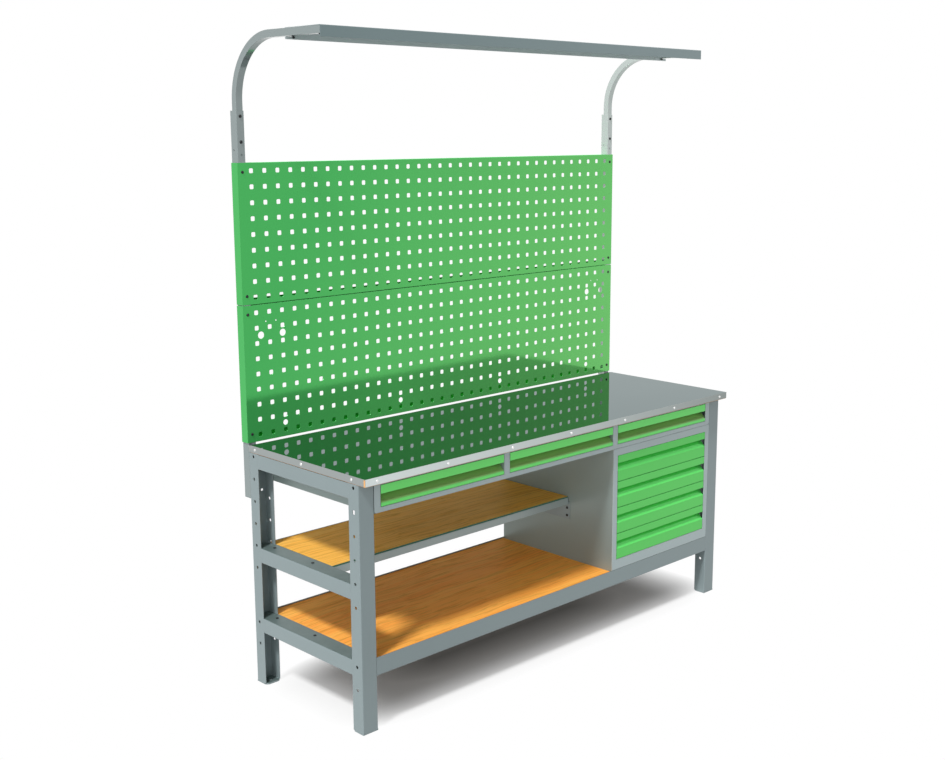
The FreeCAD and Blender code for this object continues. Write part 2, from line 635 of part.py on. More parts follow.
# Drawers: an open sheet box, a folded front with a finger groove, and a channel on each side
# that slides inside the channel fixed to the case
def drawer(number, opening_left, base, front_height, box_height, runner_level):
    name = "drawer_%d" % number
    left = "left_edge + %s + drawer_side_gap" % opening_left
    front = new_body(name + "_front_body", left, "front_edge + leg_setback", base)
    sketch = new_sketch(front, name + "_front_section", "YZ_Plane")
    band = "%s - front_band" % front_height
    slope = band + " - groove_slope"
    inner = "%s - front_sheet" % front_height
    add_outline(sketch, [
        ("front_return", front_height), ("0", front_height), ("0", band), ("groove_depth", band),
        ("0", slope), ("0", "0"), ("front_return", "0"), ("front_return", "front_sheet"),
        ("front_sheet", "front_sheet"), ("front_sheet", slope),
        ("groove_depth + 2 * front_sheet", band + " + front_sheet"),
        ("front_sheet", band + " + front_sheet"), ("front_sheet", inner), ("front_return", inner)])
    pad(front, sketch, "opening_width - 2 * drawer_side_gap")
    finished(front, name + "_front")

    box_y = "front_edge + leg_setback + front_return"
    box = new_body(name + "_box_body", "left_edge + %s + runner_gap" % opening_left, box_y, base)
    outline = new_sketch(box, name + "_box_outline", "XY_Plane")
    add_rectangle(outline, "0", "0", "opening_width - 2 * runner_gap", "box_length")
    pad(box, outline, box_height)
    hollow = new_sketch(box, name + "_box_hollow", "XY_Plane")
    add_rectangle(hollow, "box_sheet", "box_sheet", "opening_width - 2 * runner_gap - box_sheet",
                  "box_length - box_sheet")
    hollow.setExpression("AttachmentOffset.Base.z", formula("box_sheet"))
    pierce(box, hollow, True)
    finished(box, name + "_box")

    slide_level = base + " + " + runner_level + " + case_sheet + slide_clearance"
    slide_height = "(runner_height - 2 * case_sheet - 2 * slide_clearance)"
    inner_left = "left_edge + %s + runner_gap" % opening_left
    inner_right = "left_edge + %s + opening_width - runner_gap" % opening_left
    slides = []
    for side, wall, facing in (("left", inner_left, -1), ("right", inner_right, 1)):
        slides.append(strip("%s_slide_%s" % (name, side), wall, facing, slide_level, slide_height,
                            "runner_lip", "front_edge + slide_front", "slide_length"))
    finished(gathered(name + "_slides_all", slides), name + "_slides")

    fixed = []
    outer_left = "left_edge + %s" % opening_left
    outer_right = "left_edge + %s + opening_width" % opening_left
    for side, wall, facing in (("left", outer_left, 1), ("right", outer_right, -1)):
        fixed.append(strip("%s_runner_%s" % (name, side), wall, facing, base + " + " + runner_level,
                           "runner_height", "runner_lip", "front_edge + runner_front", "runner_length"))
    return fixed


def drawers():
    fixed = []
    for index in range(3):
        fixed += drawer(index + 1, "cassette_left + cassette_stile + %d * stile_pitch" % index,
                        "cassette_base + cassette_sill + drawer_gap", "top_front_height",
                        "top_box_height", "top_runner_level")
    finished(gathered("cassette_runners_all", fixed), "cassette_runners")
    fixed = []
    for index in range(4):
        fixed += drawer(index + 4, "pedestal_left + pedestal_stile",
                        "pedestal_base + pedestal_sill + drawer_gap + %d * drawer_pitch" % (3 - index),
                        "low_front_height", "low_box_height", "low_runner_level")
    finished(gathered("pedestal_runners_all", fixed), "pedestal_runners")


# Uprights: narrow channels behind the rear legs, open at the back
def upright(label, x):
    body = new_body(label + "_body", x, "front_edge + back_plane", "upright_base")
    sketch = new_sketch(body, label + "_section", "XY_Plane")
    add_outline(sketch, channel_corners("upright_width", "upright_depth", "frame_sheet"))
    blank = pad(body, sketch, "upright_height")
    width = size("upright_width")
    round_corners(body, blank, "frame_sheet", ALONG_Z,
                  lambda point: near(point.y, 0) and (near(point.x, 0) or near(point.x, width)))
    web = new_sketch(body, label + "_web_holes", "XZ_Plane")
    for level in ("post_bolt_low", "post_bolt_high", "arm_bolt_low", "arm_bolt_high"):
        add_circle(web, "upright_width / 2", level + " - upright_base", "upright_hole")
    for base in ("lower_panel_base", "upper_panel_base"):
        for level in ("panel_screw_low", "panel_screw_high"):
            add_circle(web, "upright_width / 2", "%s + %s - upright_base" % (base, level), "screw_hole")
    add_circle(web, "upright_width / 2", "web_hole_level - upright_base", "web_hole_radius")
    pierce(body, web, False)
    flange = new_sketch(body, label + "_flange_hole", "YZ_Plane")
    add_circle(flange, "flange_hole_in", "flange_hole_level - upright_base", "web_hole_radius")
    pierce(body, flange, True)
    finished(body, label)


def hole_wire(x, y, z, half, corner):
    """A square hole with cut corners, standing in the plane of the panel."""
    steps = [(half - corner, -half), (half, corner - half), (half, half - corner), (half - corner, half),
             (corner - half, half), (-half, half - corner), (-half, corner - half), (corner - half, -half)]
    points = [FreeCAD.Vector(x + across, y, z + up) for across, up in steps]
    return Part.makePolygon(points + points[:1])


def round_wire(x, y, z, radius):
    """A round hole in the plane of the panel."""
    circle = Part.Circle(FreeCAD.Vector(x, y, z), FreeCAD.Vector(0, 1, 0), radius)
    return Part.Wire(circle.toShape())


# Perforated panel: one sheet punched with square holes and folded back on all four sides. Its
# top and bottom folds have a lip and stop short of the uprights.
def perforated_panel(label, base, low_lip, extra_holes):
    sheet = size("panel_sheet")
    half_length = size("panel_length") / 2
    face_y = size("front_edge") + size("panel_face")
    bottom = size(base)
    top = bottom + size("panel_height")
    pitch = size("hole_pitch")
    outline = Part.makePolygon([
        FreeCAD.Vector(-half_length, face_y, bottom), FreeCAD.Vector(half_length, face_y, bottom),
        FreeCAD.Vector(half_length, face_y, top), FreeCAD.Vector(-half_length, face_y, top),
        FreeCAD.Vector(-half_length, face_y, bottom)])
    holes = []
    for column in range(int(size("hole_columns"))):
        for level in range(int(size("hole_rows"))):
            x = -half_length + size("first_column") + column * pitch
            z = bottom + size("first_row") + level * pitch
            holes.append(hole_wire(x, face_y, z, size("hole_size") / 2, size("hole_corner")))
    screw_line = size("upright_inset") + size("upright_width") / 2 + size("left_edge")
    for side in (-1, 1):
        for level in ("panel_screw_low", "panel_screw_high"):
            holes.append(round_wire(side * screw_line, face_y, bottom + size(level), size("screw_hole")))
    for x, z, radius in extra_holes:
        for side in (-1, 1):
            holes.append(round_wire(side * x, face_y, bottom + z, radius))
    face = Part.makeFace([outline] + holes, "Part::FaceMakerBullseye")
    pieces = [face.extrude(FreeCAD.Vector(0, sheet, 0))]
    depth = size("panel_depth")
    height = size("panel_height")
    for x in (-half_length, half_length - sheet):
        pieces.append(Part.makeBox(sheet, depth, height, FreeCAD.Vector(x, face_y, bottom)))
    inset = size("panel_flange_inset")
    run = size("panel_length") - 2 * inset
    high_lip = size("panel_lip")
    for flange_z, lip_z, lip in ((bottom, bottom, size(low_lip)), (top - sheet, top - high_lip, high_lip)):
        pieces.append(Part.makeBox(run, depth - sheet, sheet,
                                   FreeCAD.Vector(-half_length + inset, face_y + sheet / 2, flange_z)))
        pieces.append(Part.makeBox(run, sheet, lip,
                                   FreeCAD.Vector(-half_length + inset, face_y + depth - sheet, lip_z)))
    item = doc.addObject("Part::Feature", label + "_sheet")
    item.Shape = pieces[0].fuse(pieces[1:]).removeSplitter()
    item.Placement = FreeCAD.Placement()
    finished(item, label)


def panels_and_uprights():
    upright("left_upright", "left_edge + upright_inset")
    upright("right_upright", "left_edge + bench_length - upright_inset - upright_width")
    # Each kind of hole sits near to and far from the middle, on both sides, at one height
    extra_holes = []
    for kind in ("outlet", "outlet_screw", "low_hole"):
        for place in ("_near", "_far"):
            extra_holes.append((size(kind + place), size(kind + "_level"), size(kind + "_radius")))
    perforated_panel("lower_pegboard", "lower_panel_base", "lower_panel_lip", extra_holes)
    perforated_panel("upper_pegboard", "upper_panel_base", "panel_lip", [])
    screws = []
    for side, x in (("left", "left_edge + upright_inset + upright_width / 2"),
                    ("right", "left_edge + bench_length - upright_inset - upright_width / 2")):
        for panel in ("lower_panel_base", "upper_panel_base"):
            for level in ("panel_screw_low", "panel_screw_high"):
                tag = "%s_%s_%s_" % (side, panel, level)
                place = (x, "front_edge + panel_face", panel + " + " + level)
                screws.append(joined(tag + "screw", [
                    rod(tag + "head", "panel_screw_head", "panel_head_height", *place, "-Y"),
                    rod(tag + "shank", "panel_screw_shank", "screw_length", *place, "+Y")]))
    finished(gathered("panel_screws_all", screws), "panel_screws")
    bolts = []
    for side, x in (("left", "left_edge + upright_inset + upright_width / 2"),
                    ("right", "left_edge + bench_length - upright_inset - upright_width / 2")):
        for level in ("post_bolt_low", "post_bolt_high"):
            tag = "%s_%s_" % (side, level)
            rear_face = "front_edge + back_plane + frame_sheet"
            bolts.append(joined(tag + "bolt", [
                hexagon(tag + "head", "bolt_head", "bolt_head_height", x, rear_face, level, "+Y"),
                rod(tag + "shank", "bolt_radius", "post_bolt_length", x, rear_face, level, "-Y"),
                hexagon(tag + "nut", "bolt_head", "nut_height", x, rear_face + " - 2 * frame_sheet",
                        level, "-Y")]))
    return bolts


# Lamp arms: square tube bent forward through a quarter turn
def lamp_arm(label, x, bolt_x):
    centre = "arm_depth / 2 + arm_clearance"
    y = "front_edge + back_plane + frame_sheet + " + centre
    body = new_body(label + "_body", x + " + arm_width / 2", y, "arm_base")
    section = new_sketch(body, label + "_section", "XY_Plane")
    for inset in ("0", "arm_wall"):
        add_rectangle(section, "%s - arm_width / 2" % inset, "%s - arm_depth / 2" % inset,
                      "arm_width / 2 - %s" % inset, "arm_depth / 2 - %s" % inset)
    path = new_sketch(body, label + "_path", "YZ_Plane")
    rise = size("arm_straight")
    bend = size("arm_bend")
    reach = size("arm_reach")
    point = FreeCAD.Vector
    path.addGeometry(Part.LineSegment(point(0, 0, 0), point(0, rise, 0)))
    quarter = Part.Circle(point(-bend, rise, 0), point(0, 0, 1), bend)
    path.addGeometry(Part.ArcOfCircle(quarter, 0, math.pi / 2))
    path.addGeometry(Part.LineSegment(point(-bend, rise + bend, 0), point(-bend - reach, rise + bend, 0)))
    path.addConstraint(Sketcher.Constraint("Coincident", 0, 1, -1, 1))
    path.addConstraint(Sketcher.Constraint("Vertical", 0))
    path.addConstraint(Sketcher.Constraint("Tangent", 0, 2, 1, 1))
    path.addConstraint(Sketcher.Constraint("Tangent", 1, 2, 2, 1))
    path.addConstraint(Sketcher.Constraint("Horizontal", 2))
    datum(path, "DistanceY", (0, 1, 0, 2), "arm_straight")
    datum(path, "Radius", (1,), "arm_bend")
    datum(path, "DistanceX", (2, 2, 2, 1), "arm_reach")
    tube = body.newObject("PartDesign::AdditivePipe", label + "_tube")
    tube.Profile = section
    tube.Spine = (path, ["Edge1", "Edge2", "Edge3"])
    doc.recompute()
    holes = [rod("%s_hole_%s" % (label, level), "bolt_hole", "drill_length", bolt_x,
                 "front_edge + back_plane - 10", level, "+Y") for level in ("arm_bolt_low", "arm_bolt_high")]
    holes.append(rod(label + "_rail_hole", "screw_hole", "drill_length", x + " + arm_width / 2",
                     "front_edge + lamp_rail_front + lamp_rail_screw_in", "lamp_rail_base", "+Z"))
    finished(cut(label + "_cut", body, holes), label)


def lamp_rail(post_bolts):
    body = new_body("lamp_rail_body", "left_edge + lamp_rail_left", "front_edge + lamp_rail_front",
                    "lamp_rail_base")
    sketch = new_sketch(body, "lamp_rail_section", "YZ_Plane")
    high = "lamp_rail_height - lamp_rail_sheet"
    far = "lamp_rail_depth - lamp_rail_sheet"
    add_outline(sketch, [
        ("0", "0"), ("lamp_rail_sheet", "0"), ("lamp_rail_sheet", high), (far, high), (far, "0"),
        ("lamp_rail_depth", "0"), ("lamp_rail_depth", "lamp_rail_height"), ("0", "lamp_rail_height")])
    blank = pad(body, sketch, "lamp_rail_length")
    height = size("lamp_rail_height")
    depth = size("lamp_rail_depth")
    round_corners(body, blank, "frame_sheet", ALONG_X,
                  lambda point: near(point.z, height) and (near(point.y, 0) or near(point.y, depth)))
    notches = []
    arm_places = (("left", "left_edge + arm_side_inset"),
                  ("right", "left_edge + bench_length - arm_side_inset - arm_width"))
    for side, x in arm_places:
        notches.append(plate("rail_notch_" + side, x + " - 1",
                             "front_edge + lamp_rail_front + lamp_rail_depth - 5",
                             "lamp_rail_base + lamp_rail_height - lamp_rail_sheet - arm_depth - 1",
                             "arm_width + 2", "10", "arm_depth + 1"))
        notches.append(rod("rail_top_hole_" + side, "screw_hole", "drill_length", x + " + arm_width / 2",
                           "front_edge + lamp_rail_front + lamp_rail_screw_in", "lamp_rail_base", "+Z"))
        notches.append(rod("rail_back_hole_" + side, "screw_hole", "20",
                           "%s * (left_edge + lamp_rail_screw_side)" % ("1" if side == "left" else "-1"),
                           "front_edge + lamp_rail_front + lamp_rail_depth - 10",
                           "lamp_rail_base + lamp_rail_screw_lift", "+Y"))
    finished(cut("lamp_rail_cut", body, notches), "lamp_rail")
    screws = []
    for side, x in arm_places:
        tag = "rail_%s_" % side
        under = ("lamp_rail_base + lamp_rail_height - lamp_rail_sheet - arm_depth")
        place = (x + " + arm_width / 2", "front_edge + lamp_rail_front + lamp_rail_screw_in")
        screws.append(joined(tag + "top_screw", [
            rod(tag + "top_head", "screw_head", "screw_head_height", *place, under, "-Z"),
            rod(tag + "top_shank", "screw_radius", "arm_depth + lamp_rail_sheet", *place, under, "+Z")]))
        place = ("%s * (left_edge + lamp_rail_screw_side)" % ("1" if side == "left" else "-1"),
                 "front_edge + lamp_rail_front + lamp_rail_depth", "lamp_rail_base + lamp_rail_screw_lift")
        screws.append(joined(tag + "back_screw", [
            rod(tag + "back_head", "screw_head", "screw_head_height", *place, "+Y"),
            rod(tag + "back_shank", "screw_radius", "short_screw_length", *place, "-Y")]))
    finished(gathered("rail_screws", screws), "lamp_rail_screws")
    bolts = list(post_bolts)
    for side, x in (("left", "left_edge + upright_inset + upright_width / 2"),
                    ("right", "left_edge + bench_length - upright_inset - upright_width / 2")):
        for level in ("arm_bolt_low", "arm_bolt_high"):
            tag = "%s_%s_" % (side, level)
            web = "front_edge + back_plane"
            bolts.append(joined(tag + "bolt", [
                rod(tag + "head", "screw_head", "screw_head_height", x, web, level, "-Y"),
                rod(tag + "shank", "bolt_radius", "upright_depth", x, web, level, "+Y"),
                hexagon(tag + "nut", "bolt_head", "nut_height", x,
                        web + " + frame_sheet + arm_clearance + arm_depth", level, "+Y")]))
    finished(gathered("upright_bolts_all", bolts), "upright_bolts")


worktop()
legs_and_feet()
bracket_bores, bracket_bolts = shelves()
rails(bracket_bolts)
drawer_cases(bracket_bores)
drawers()
upright_to_leg_bolts = panels_and_uprights()
lamp_arm("left_lamp_arm", "left_edge + arm_side_inset", "left_edge + upright_inset + upright_width / 2")
lamp_arm("right_lamp_arm", "left_edge + bench_length - arm_side_inset - arm_width",
         "left_edge + bench_length - upright_inset - upright_width / 2")
lamp_rail(upright_to_leg_bolts)
doc.recompute()

# Every object must have worked out, and every sub-part must be a sound solid, before any is written
for item in doc.Objects:
    if "Invalid" in item.State or "Error" in item.State:
        raise RuntimeError(item.Label + " did not work out: " + str(item.State))
os.makedirs("parts", exist_ok=True)
for item in subparts:
    if item.Shape.isNull() or not item.Shape.isValid() or item.Shape.Volume <= 0:
        raise RuntimeError(item.Label + " is not a sound solid")
    item.Shape.exportStep("parts/%s.step" % item.Label)
print("sub-parts written:", len(subparts))
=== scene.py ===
import math

import bmesh
import bpy
from mathutils import Matrix, Vector


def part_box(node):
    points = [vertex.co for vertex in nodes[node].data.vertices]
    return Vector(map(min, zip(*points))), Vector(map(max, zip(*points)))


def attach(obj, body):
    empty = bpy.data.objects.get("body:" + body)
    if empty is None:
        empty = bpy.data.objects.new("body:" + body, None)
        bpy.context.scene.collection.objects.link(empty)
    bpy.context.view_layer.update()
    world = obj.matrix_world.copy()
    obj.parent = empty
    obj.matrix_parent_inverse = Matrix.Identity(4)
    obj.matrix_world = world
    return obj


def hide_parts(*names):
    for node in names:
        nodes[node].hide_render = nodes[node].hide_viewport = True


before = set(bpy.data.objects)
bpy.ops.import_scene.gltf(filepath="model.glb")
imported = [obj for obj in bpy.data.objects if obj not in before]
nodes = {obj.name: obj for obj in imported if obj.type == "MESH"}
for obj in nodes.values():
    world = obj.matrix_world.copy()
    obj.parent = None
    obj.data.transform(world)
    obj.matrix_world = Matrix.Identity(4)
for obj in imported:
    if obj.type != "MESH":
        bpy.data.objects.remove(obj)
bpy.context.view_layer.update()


# Viewpoint: at eye height, well back from the bench's front left corner, with the lens shifted
# as little as the framing needs.
eye_point = (-3.16357, -3.16455, 1.82977)
eye_tilt, eye_heading = 79.1727, -44.8994
camera_data = bpy.data.cameras.new("viewpoint")
camera_data.sensor_fit = "HORIZONTAL"
camera_data.sensor_width = 36
camera_data.lens = 48.813
camera_data.shift_x = -0.03337
camera_data.shift_y = -0.00795
camera = bpy.data.objects.new("viewpoint", camera_data)
camera.location = eye_point
camera.rotation_euler = (math.radians(eye_tilt), 0, math.radians(eye_heading))
bpy.context.scene.collection.objects.link(camera)
bpy.context.scene.camera = camera
bpy.context.scene.view_settings.view_transform = "Standard"


# Floor and backdrop: a pale floor that keeps the bench's soft shadow and fades to plain white
# away from it. Seen directly or in a reflection, the world behind it is white as well.
def new_material(name):
    """A material, its node tree and its Principled shader."""
    material = bpy.data.materials.new(name)
    material.use_nodes = True
    return material, material.node_tree, material.node_tree.nodes["Principled BSDF"]


def add(tree, kind, values=None, **settings):
    """A node with its settings, and values for its unlinked sockets by name or place."""
    node = tree.nodes.new(kind)
    for key, setting in settings.items():
        setattr(node, key, setting)
    for key, number in (values or {}).items():
        node.inputs[key].default_value = number
    return node


def seen_rays(tree):
    """1 for the rays that look at a surface directly, in a mirror or through glass."""
    paths = add(tree, "ShaderNodeLightPath")
    pair = add(tree, "ShaderNodeMath", operation="MAXIMUM")
    every = add(tree, "ShaderNodeMath", operation="MAXIMUM")
    tree.links.new(paths.outputs["Is Camera Ray"], pair.inputs[0])
    tree.links.new(paths.outputs["Is Glossy Ray"], pair.inputs[1])
    tree.links.new(pair.outputs[0], every.inputs[0])
    tree.links.new(paths.outputs["Is Transmission Ray"], every.inputs[1])
    return every.outputs[0]


def outside(tree, place, centre, half, reach):
    """How far a place lies outside a rectangle, where 1 is the reach along each axis."""
    centred = add(tree, "ShaderNodeVectorMath", {1: centre}, operation="SUBTRACT")
    unsigned = add(tree, "ShaderNodeVectorMath", operation="ABSOLUTE")
    beyond = add(tree, "ShaderNodeVectorMath", {1: half}, operation="SUBTRACT")
    kept = add(tree, "ShaderNodeVectorMath", {1: (0, 0, 0)}, operation="MAXIMUM")
    scaled = add(tree, "ShaderNodeVectorMath", {1: reach}, operation="DIVIDE")
    distance = add(tree, "ShaderNodeVectorMath", operation="LENGTH")
    steps = (centred, unsigned, beyond, kept, scaled, distance)
    tree.links.new(place, centred.inputs[0])
    for before, after in zip(steps, steps[1:]):
        tree.links.new(before.outputs[0], after.inputs[0])
    return distance.outputs["Value"]


half_floor = 30
floor_corners = [(x * half_floor, y * half_floor, 0) for x, y in ((-1, -1), (1, -1), (1, 1), (-1, 1))]
shadow_middle, shadow_half, shadow_reach = (0.015, 0, 0), (0.635, 0.12, 0), (0.30, 0.20, 1)
# Under the middle of the bench the floor's colour is painted darker, a painted shadow deepest at its centre.
painted_shadow_half, painted_shadow_reach = (0.35, 0, 0), (0.25, 0.13, 1)
painted_shadow_tone, open_tone, bounce_tone, shadow_lift = 0.42, 0.90, 0.45, 0.005
floor_mesh = bpy.data.meshes.new("floor")
floor_mesh.from_pydata(floor_corners, [], [(0, 1, 2, 3)])
floor = bpy.data.objects.new("floor", floor_mesh)
bpy.context.scene.collection.objects.link(floor)
floor_finish, tree, shader = new_material("pale floor")
tree.nodes.remove(shader)
place = add(tree, "ShaderNodeTexCoord").outputs["Object"]
fade = add(tree, "ShaderNodeMath", {1: 2}, operation="POWER", use_clamp=True)
tree.links.new(outside(tree, place, shadow_middle, shadow_half, shadow_reach), fade.inputs[0])
painted_shadow = add(tree, "ShaderNodeMapRange", {"To Min": painted_shadow_tone, "To Max": open_tone})
tree.links.new(outside(tree, place, (0, 0, 0), painted_shadow_half, painted_shadow_reach), painted_shadow.inputs["Value"])
looks = seen_rays(tree)
paleness = add(tree, "ShaderNodeMapRange", {"To Min": bounce_tone})
matt = add(tree, "ShaderNodeBsdfDiffuse")
lift = add(tree, "ShaderNodeMath", {1: shadow_lift}, operation="MULTIPLY")
glow = add(tree, "ShaderNodeEmission", {"Color": (1, 1, 1, 1)})
shadowed = add(tree, "ShaderNodeAddShader")
white = add(tree, "ShaderNodeEmission", {"Color": (1, 1, 1, 1), "Strength": 1})
share = add(tree, "ShaderNodeMath", operation="MULTIPLY")
both = add(tree, "ShaderNodeMixShader")
tree.links.new(looks, paleness.inputs["Value"])
tree.links.new(painted_shadow.outputs[0], paleness.inputs["To Max"])
tree.links.new(paleness.outputs[0], matt.inputs["Color"])
tree.links.new(looks, lift.inputs[0])
tree.links.new(lift.outputs[0], glow.inputs["Strength"])
tree.links.new(matt.outputs[0], shadowed.inputs[0])
tree.links.new(glow.outputs[0], shadowed.inputs[1])
tree.links.new(looks, share.inputs[0])
tree.links.new(fade.outputs[0], share.inputs[1])
tree.links.new(share.outputs[0], both.inputs[0])
tree.links.new(shadowed.outputs[0], both.inputs[1])
tree.links.new(white.outputs[0], both.inputs[2])
tree.links.new(both.outputs[0], tree.nodes["Material Output"].inputs["Surface"])
floor_mesh.materials.append(floor_finish)

sky_level = 0.31
world = bpy.data.worlds.new("studio")
bpy.context.scene.world = world
world.use_nodes = True
sky = world.node_tree
level = add(sky, "ShaderNodeMapRange", {"To Min": sky_level, "To Max": 1.0})
sky.links.new(seen_rays(sky), level.inputs["Value"])
sky.links.new(level.outputs[0], sky.nodes["Background"].inputs["Strength"])
sky.nodes["Background"].inputs["Color"].default_value = (1, 1, 1, 1)


# Lamps: a large soft light high on the left and a little in front, so the left ends of the
# shelves and the front strip of the lower one catch it, and a very soft low one from the left.
def far_lamp(name, energy, angle, direction):
    """A lamp so far off that its light comes from one direction."""
    light = bpy.data.lights.new(name, "SUN")
    light.energy = energy
    light.angle = math.radians(angle)
    lamp = bpy.data.objects.new(name, light)
    lamp.rotation_euler = Vector(direction).to_track_quat("-Z", "Y").to_euler()
    bpy.context.scene.collection.objects.link(lamp)


far_lamp("high_left_light", 2.5, 8, (0.63, 0.2, -1))
far_lamp("low_left_light", 0.85, 45, (0.8, 0.45, -0.38))


# Legs and foot plates: four open channels folded from 2 mm steel, each with a plate welded
# across its foot, all powder coated grey. The coat is a little shiny, with a fine orange peel.
def new_group(name, inputs, outputs):
    """A shader group with named sockets: its tree, its input node and its output node."""
    group = bpy.data.node_groups.new(name, "ShaderNodeTree")
    for title, kind, number in inputs:
        socket = group.interface.new_socket(name=title, in_out="INPUT", socket_type="NodeSocket" + kind)
        socket.default_value = number
    for title, kind in outputs:
        group.interface.new_socket(name=title, in_out="OUTPUT", socket_type="NodeSocket" + kind)
    return group, group.nodes.new("NodeGroupInput"), group.nodes.new("NodeGroupOutput")


def placed(tree, group, **values):
    """A group node in a material, with its own values."""
    node = tree.nodes.new("ShaderNodeGroup")
    node.node_tree = group
    for title, number in values.items():
        node.inputs[title].default_value = number
    return node


# Rubbed edges: where two faces meet, a soft band that breaks up along its length
edge_wear, start, end = new_group(
    "edge wear", [("Width", "Float", 0.0015), ("Breaks", "Float", 60)],
    [("Mask", "Float"), ("Normal", "Vector")])
rounded = add(edge_wear, "ShaderNodeBevel", samples=4)
flat = add(edge_wear, "ShaderNodeNewGeometry")
turn = add(edge_wear, "ShaderNodeVectorMath", operation="DOT_PRODUCT")
band = add(edge_wear, "ShaderNodeMapRange", {"From Min": 0.995, "From Max": 0.8},
           interpolation_type="SMOOTHSTEP")
spot = add(edge_wear, "ShaderNodeTexCoord")
flakes = add(edge_wear, "ShaderNodeTexNoise", {"Detail": 4, "Roughness": 0.65})
gaps = add(edge_wear, "ShaderNodeMapRange", {"From Min": 0.35, "From Max": 0.7})
worn = add(edge_wear, "ShaderNodeMath", operation="MULTIPLY")
edge_wear.links.new(start.outputs["Width"], rounded.inputs["Radius"])
edge_wear.links.new(rounded.outputs["Normal"], turn.inputs[0])
edge_wear.links.new(flat.outputs["Normal"], turn.inputs[1])
edge_wear.links.new(turn.outputs["Value"], band.inputs["Value"])
edge_wear.links.new(spot.outputs["Object"], flakes.inputs["Vector"])
edge_wear.links.new(start.outputs["Breaks"], flakes.inputs["Scale"])
edge_wear.links.new(flakes.outputs["Fac"], gaps.inputs["Value"])
edge_wear.links.new(band.outputs[0], worn.inputs[0])
edge_wear.links.new(gaps.outputs[0], worn.inputs[1])
edge_wear.links.new(worn.outputs[0], end.inputs["Mask"])
edge_wear.links.new(rounded.outputs["Normal"], end.inputs["Normal"])

# Sprayed coat: two tones that pass into each other along a sweep, slow drifts, a fine orange
# peel, and another tone on upward faces, a painted light that some coats set lighter and others darker
sprayed, start, end = new_group(
    "sprayed coat",
    [("Colour", "Color", (0.3, 0.3, 0.3, 1)), ("Far", "Color", (0.3, 0.3, 0.3, 1)),
     ("Sweep", "Vector", (0, 0, 0)), ("Start", "Float", 0), ("Drift", "Float", 0.08), ("Peel", "Float", 650),
     ("Upward", "Color", (0.3, 0.3, 0.3, 1)), ("Lying", "Float", 0)],
    [("Colour", "Color"), ("Gloss", "Float"), ("Height", "Float"), ("Lying", "Float")])
spot = add(sprayed, "ShaderNodeTexCoord")
slow = add(sprayed, "ShaderNodeTexNoise", {"Scale": 2.6, "Detail": 3, "Roughness": 0.55})
fine = add(sprayed, "ShaderNodeTexNoise", {"Scale": 140, "Detail": 2})
peel = add(sprayed, "ShaderNodeTexNoise", {"Detail": 1.5, "Roughness": 0.4})
both = add(sprayed, "ShaderNodeMath", operation="MULTIPLY_ADD")
both.inputs[1].default_value = 0.25
centred = add(sprayed, "ShaderNodeMath", {1: 0.625}, operation="SUBTRACT")
spread = add(sprayed, "ShaderNodeMath", operation="MULTIPLY_ADD")
spread.inputs[2].default_value = 1.0
toned = add(sprayed, "ShaderNodeVectorMath", operation="SCALE")
swept = add(sprayed, "ShaderNodeVectorMath", operation="DOT_PRODUCT")
reached = add(sprayed, "ShaderNodeMath", operation="ADD", use_clamp=True)
paint = add(sprayed, "ShaderNodeMix", data_type="RGBA")
upward = add(sprayed, "ShaderNodeSeparateXYZ")
upward_facing = add(sprayed, "ShaderNodeMapRange", {"From Min": 0.4, "From Max": 0.95})
patchy = add(sprayed, "ShaderNodeTexNoise", {"Scale": 18, "Detail": 5, "Roughness": 0.7})
upward_patches = add(sprayed, "ShaderNodeMapRange", {"From Min": 0.35, "From Max": 0.75, "To Min": 0.85})
upward_share = add(sprayed, "ShaderNodeMath", operation="MULTIPLY")
upward_painted_light = add(sprayed, "ShaderNodeMath", operation="MULTIPLY")
with_upward_tone = add(sprayed, "ShaderNodeMix", data_type="RGBA")
for item in (slow, fine, peel, patchy):
    sprayed.links.new(spot.outputs["Object"], item.inputs["Vector"])
sprayed.links.new(start.outputs["Peel"], peel.inputs["Scale"])
sprayed.links.new(fine.outputs["Fac"], both.inputs[0])
sprayed.links.new(slow.outputs["Fac"], both.inputs[2])
sprayed.links.new(both.outputs[0], centred.inputs[0])
sprayed.links.new(centred.outputs[0], spread.inputs[0])
sprayed.links.new(start.outputs["Drift"], spread.inputs[1])
sprayed.links.new(spot.outputs["Object"], swept.inputs[0])
sprayed.links.new(start.outputs["Sweep"], swept.inputs[1])
sprayed.links.new(swept.outputs["Value"], reached.inputs[0])
sprayed.links.new(start.outputs["Start"], reached.inputs[1])
sprayed.links.new(reached.outputs[0], paint.inputs[0])
sprayed.links.new(start.outputs["Colour"], paint.inputs[6])
sprayed.links.new(start.outputs["Far"], paint.inputs[7])
sprayed.links.new(paint.outputs[2], toned.inputs[0])
sprayed.links.new(spread.outputs[0], toned.inputs["Scale"])
sprayed.links.new(spot.outputs["Normal"], upward.inputs[0])
sprayed.links.new(upward.outputs["Z"], upward_facing.inputs["Value"])
sprayed.links.new(patchy.outputs["Fac"], upward_patches.inputs["Value"])
sprayed.links.new(upward_facing.outputs[0], upward_share.inputs[0])
sprayed.links.new(upward_patches.outputs[0], upward_share.inputs[1])
sprayed.links.new(upward_share.outputs[0], upward_painted_light.inputs[0])
sprayed.links.new(start.outputs["Lying"], upward_painted_light.inputs[1])
sprayed.links.new(start.outputs["Upward"], with_upward_tone.inputs[7])
sprayed.links.new(upward_painted_light.outputs[0], with_upward_tone.inputs[0])
sprayed.links.new(toned.outputs[0], with_upward_tone.inputs[6])
sprayed.links.new(with_upward_tone.outputs[2], end.inputs["Colour"])
sprayed.links.new(patchy.outputs["Fac"], end.inputs["Gloss"])
sprayed.links.new(peel.outputs["Fac"], end.inputs["Height"])
sprayed.links.new(upward_painted_light.outputs[0], end.inputs["Lying"])


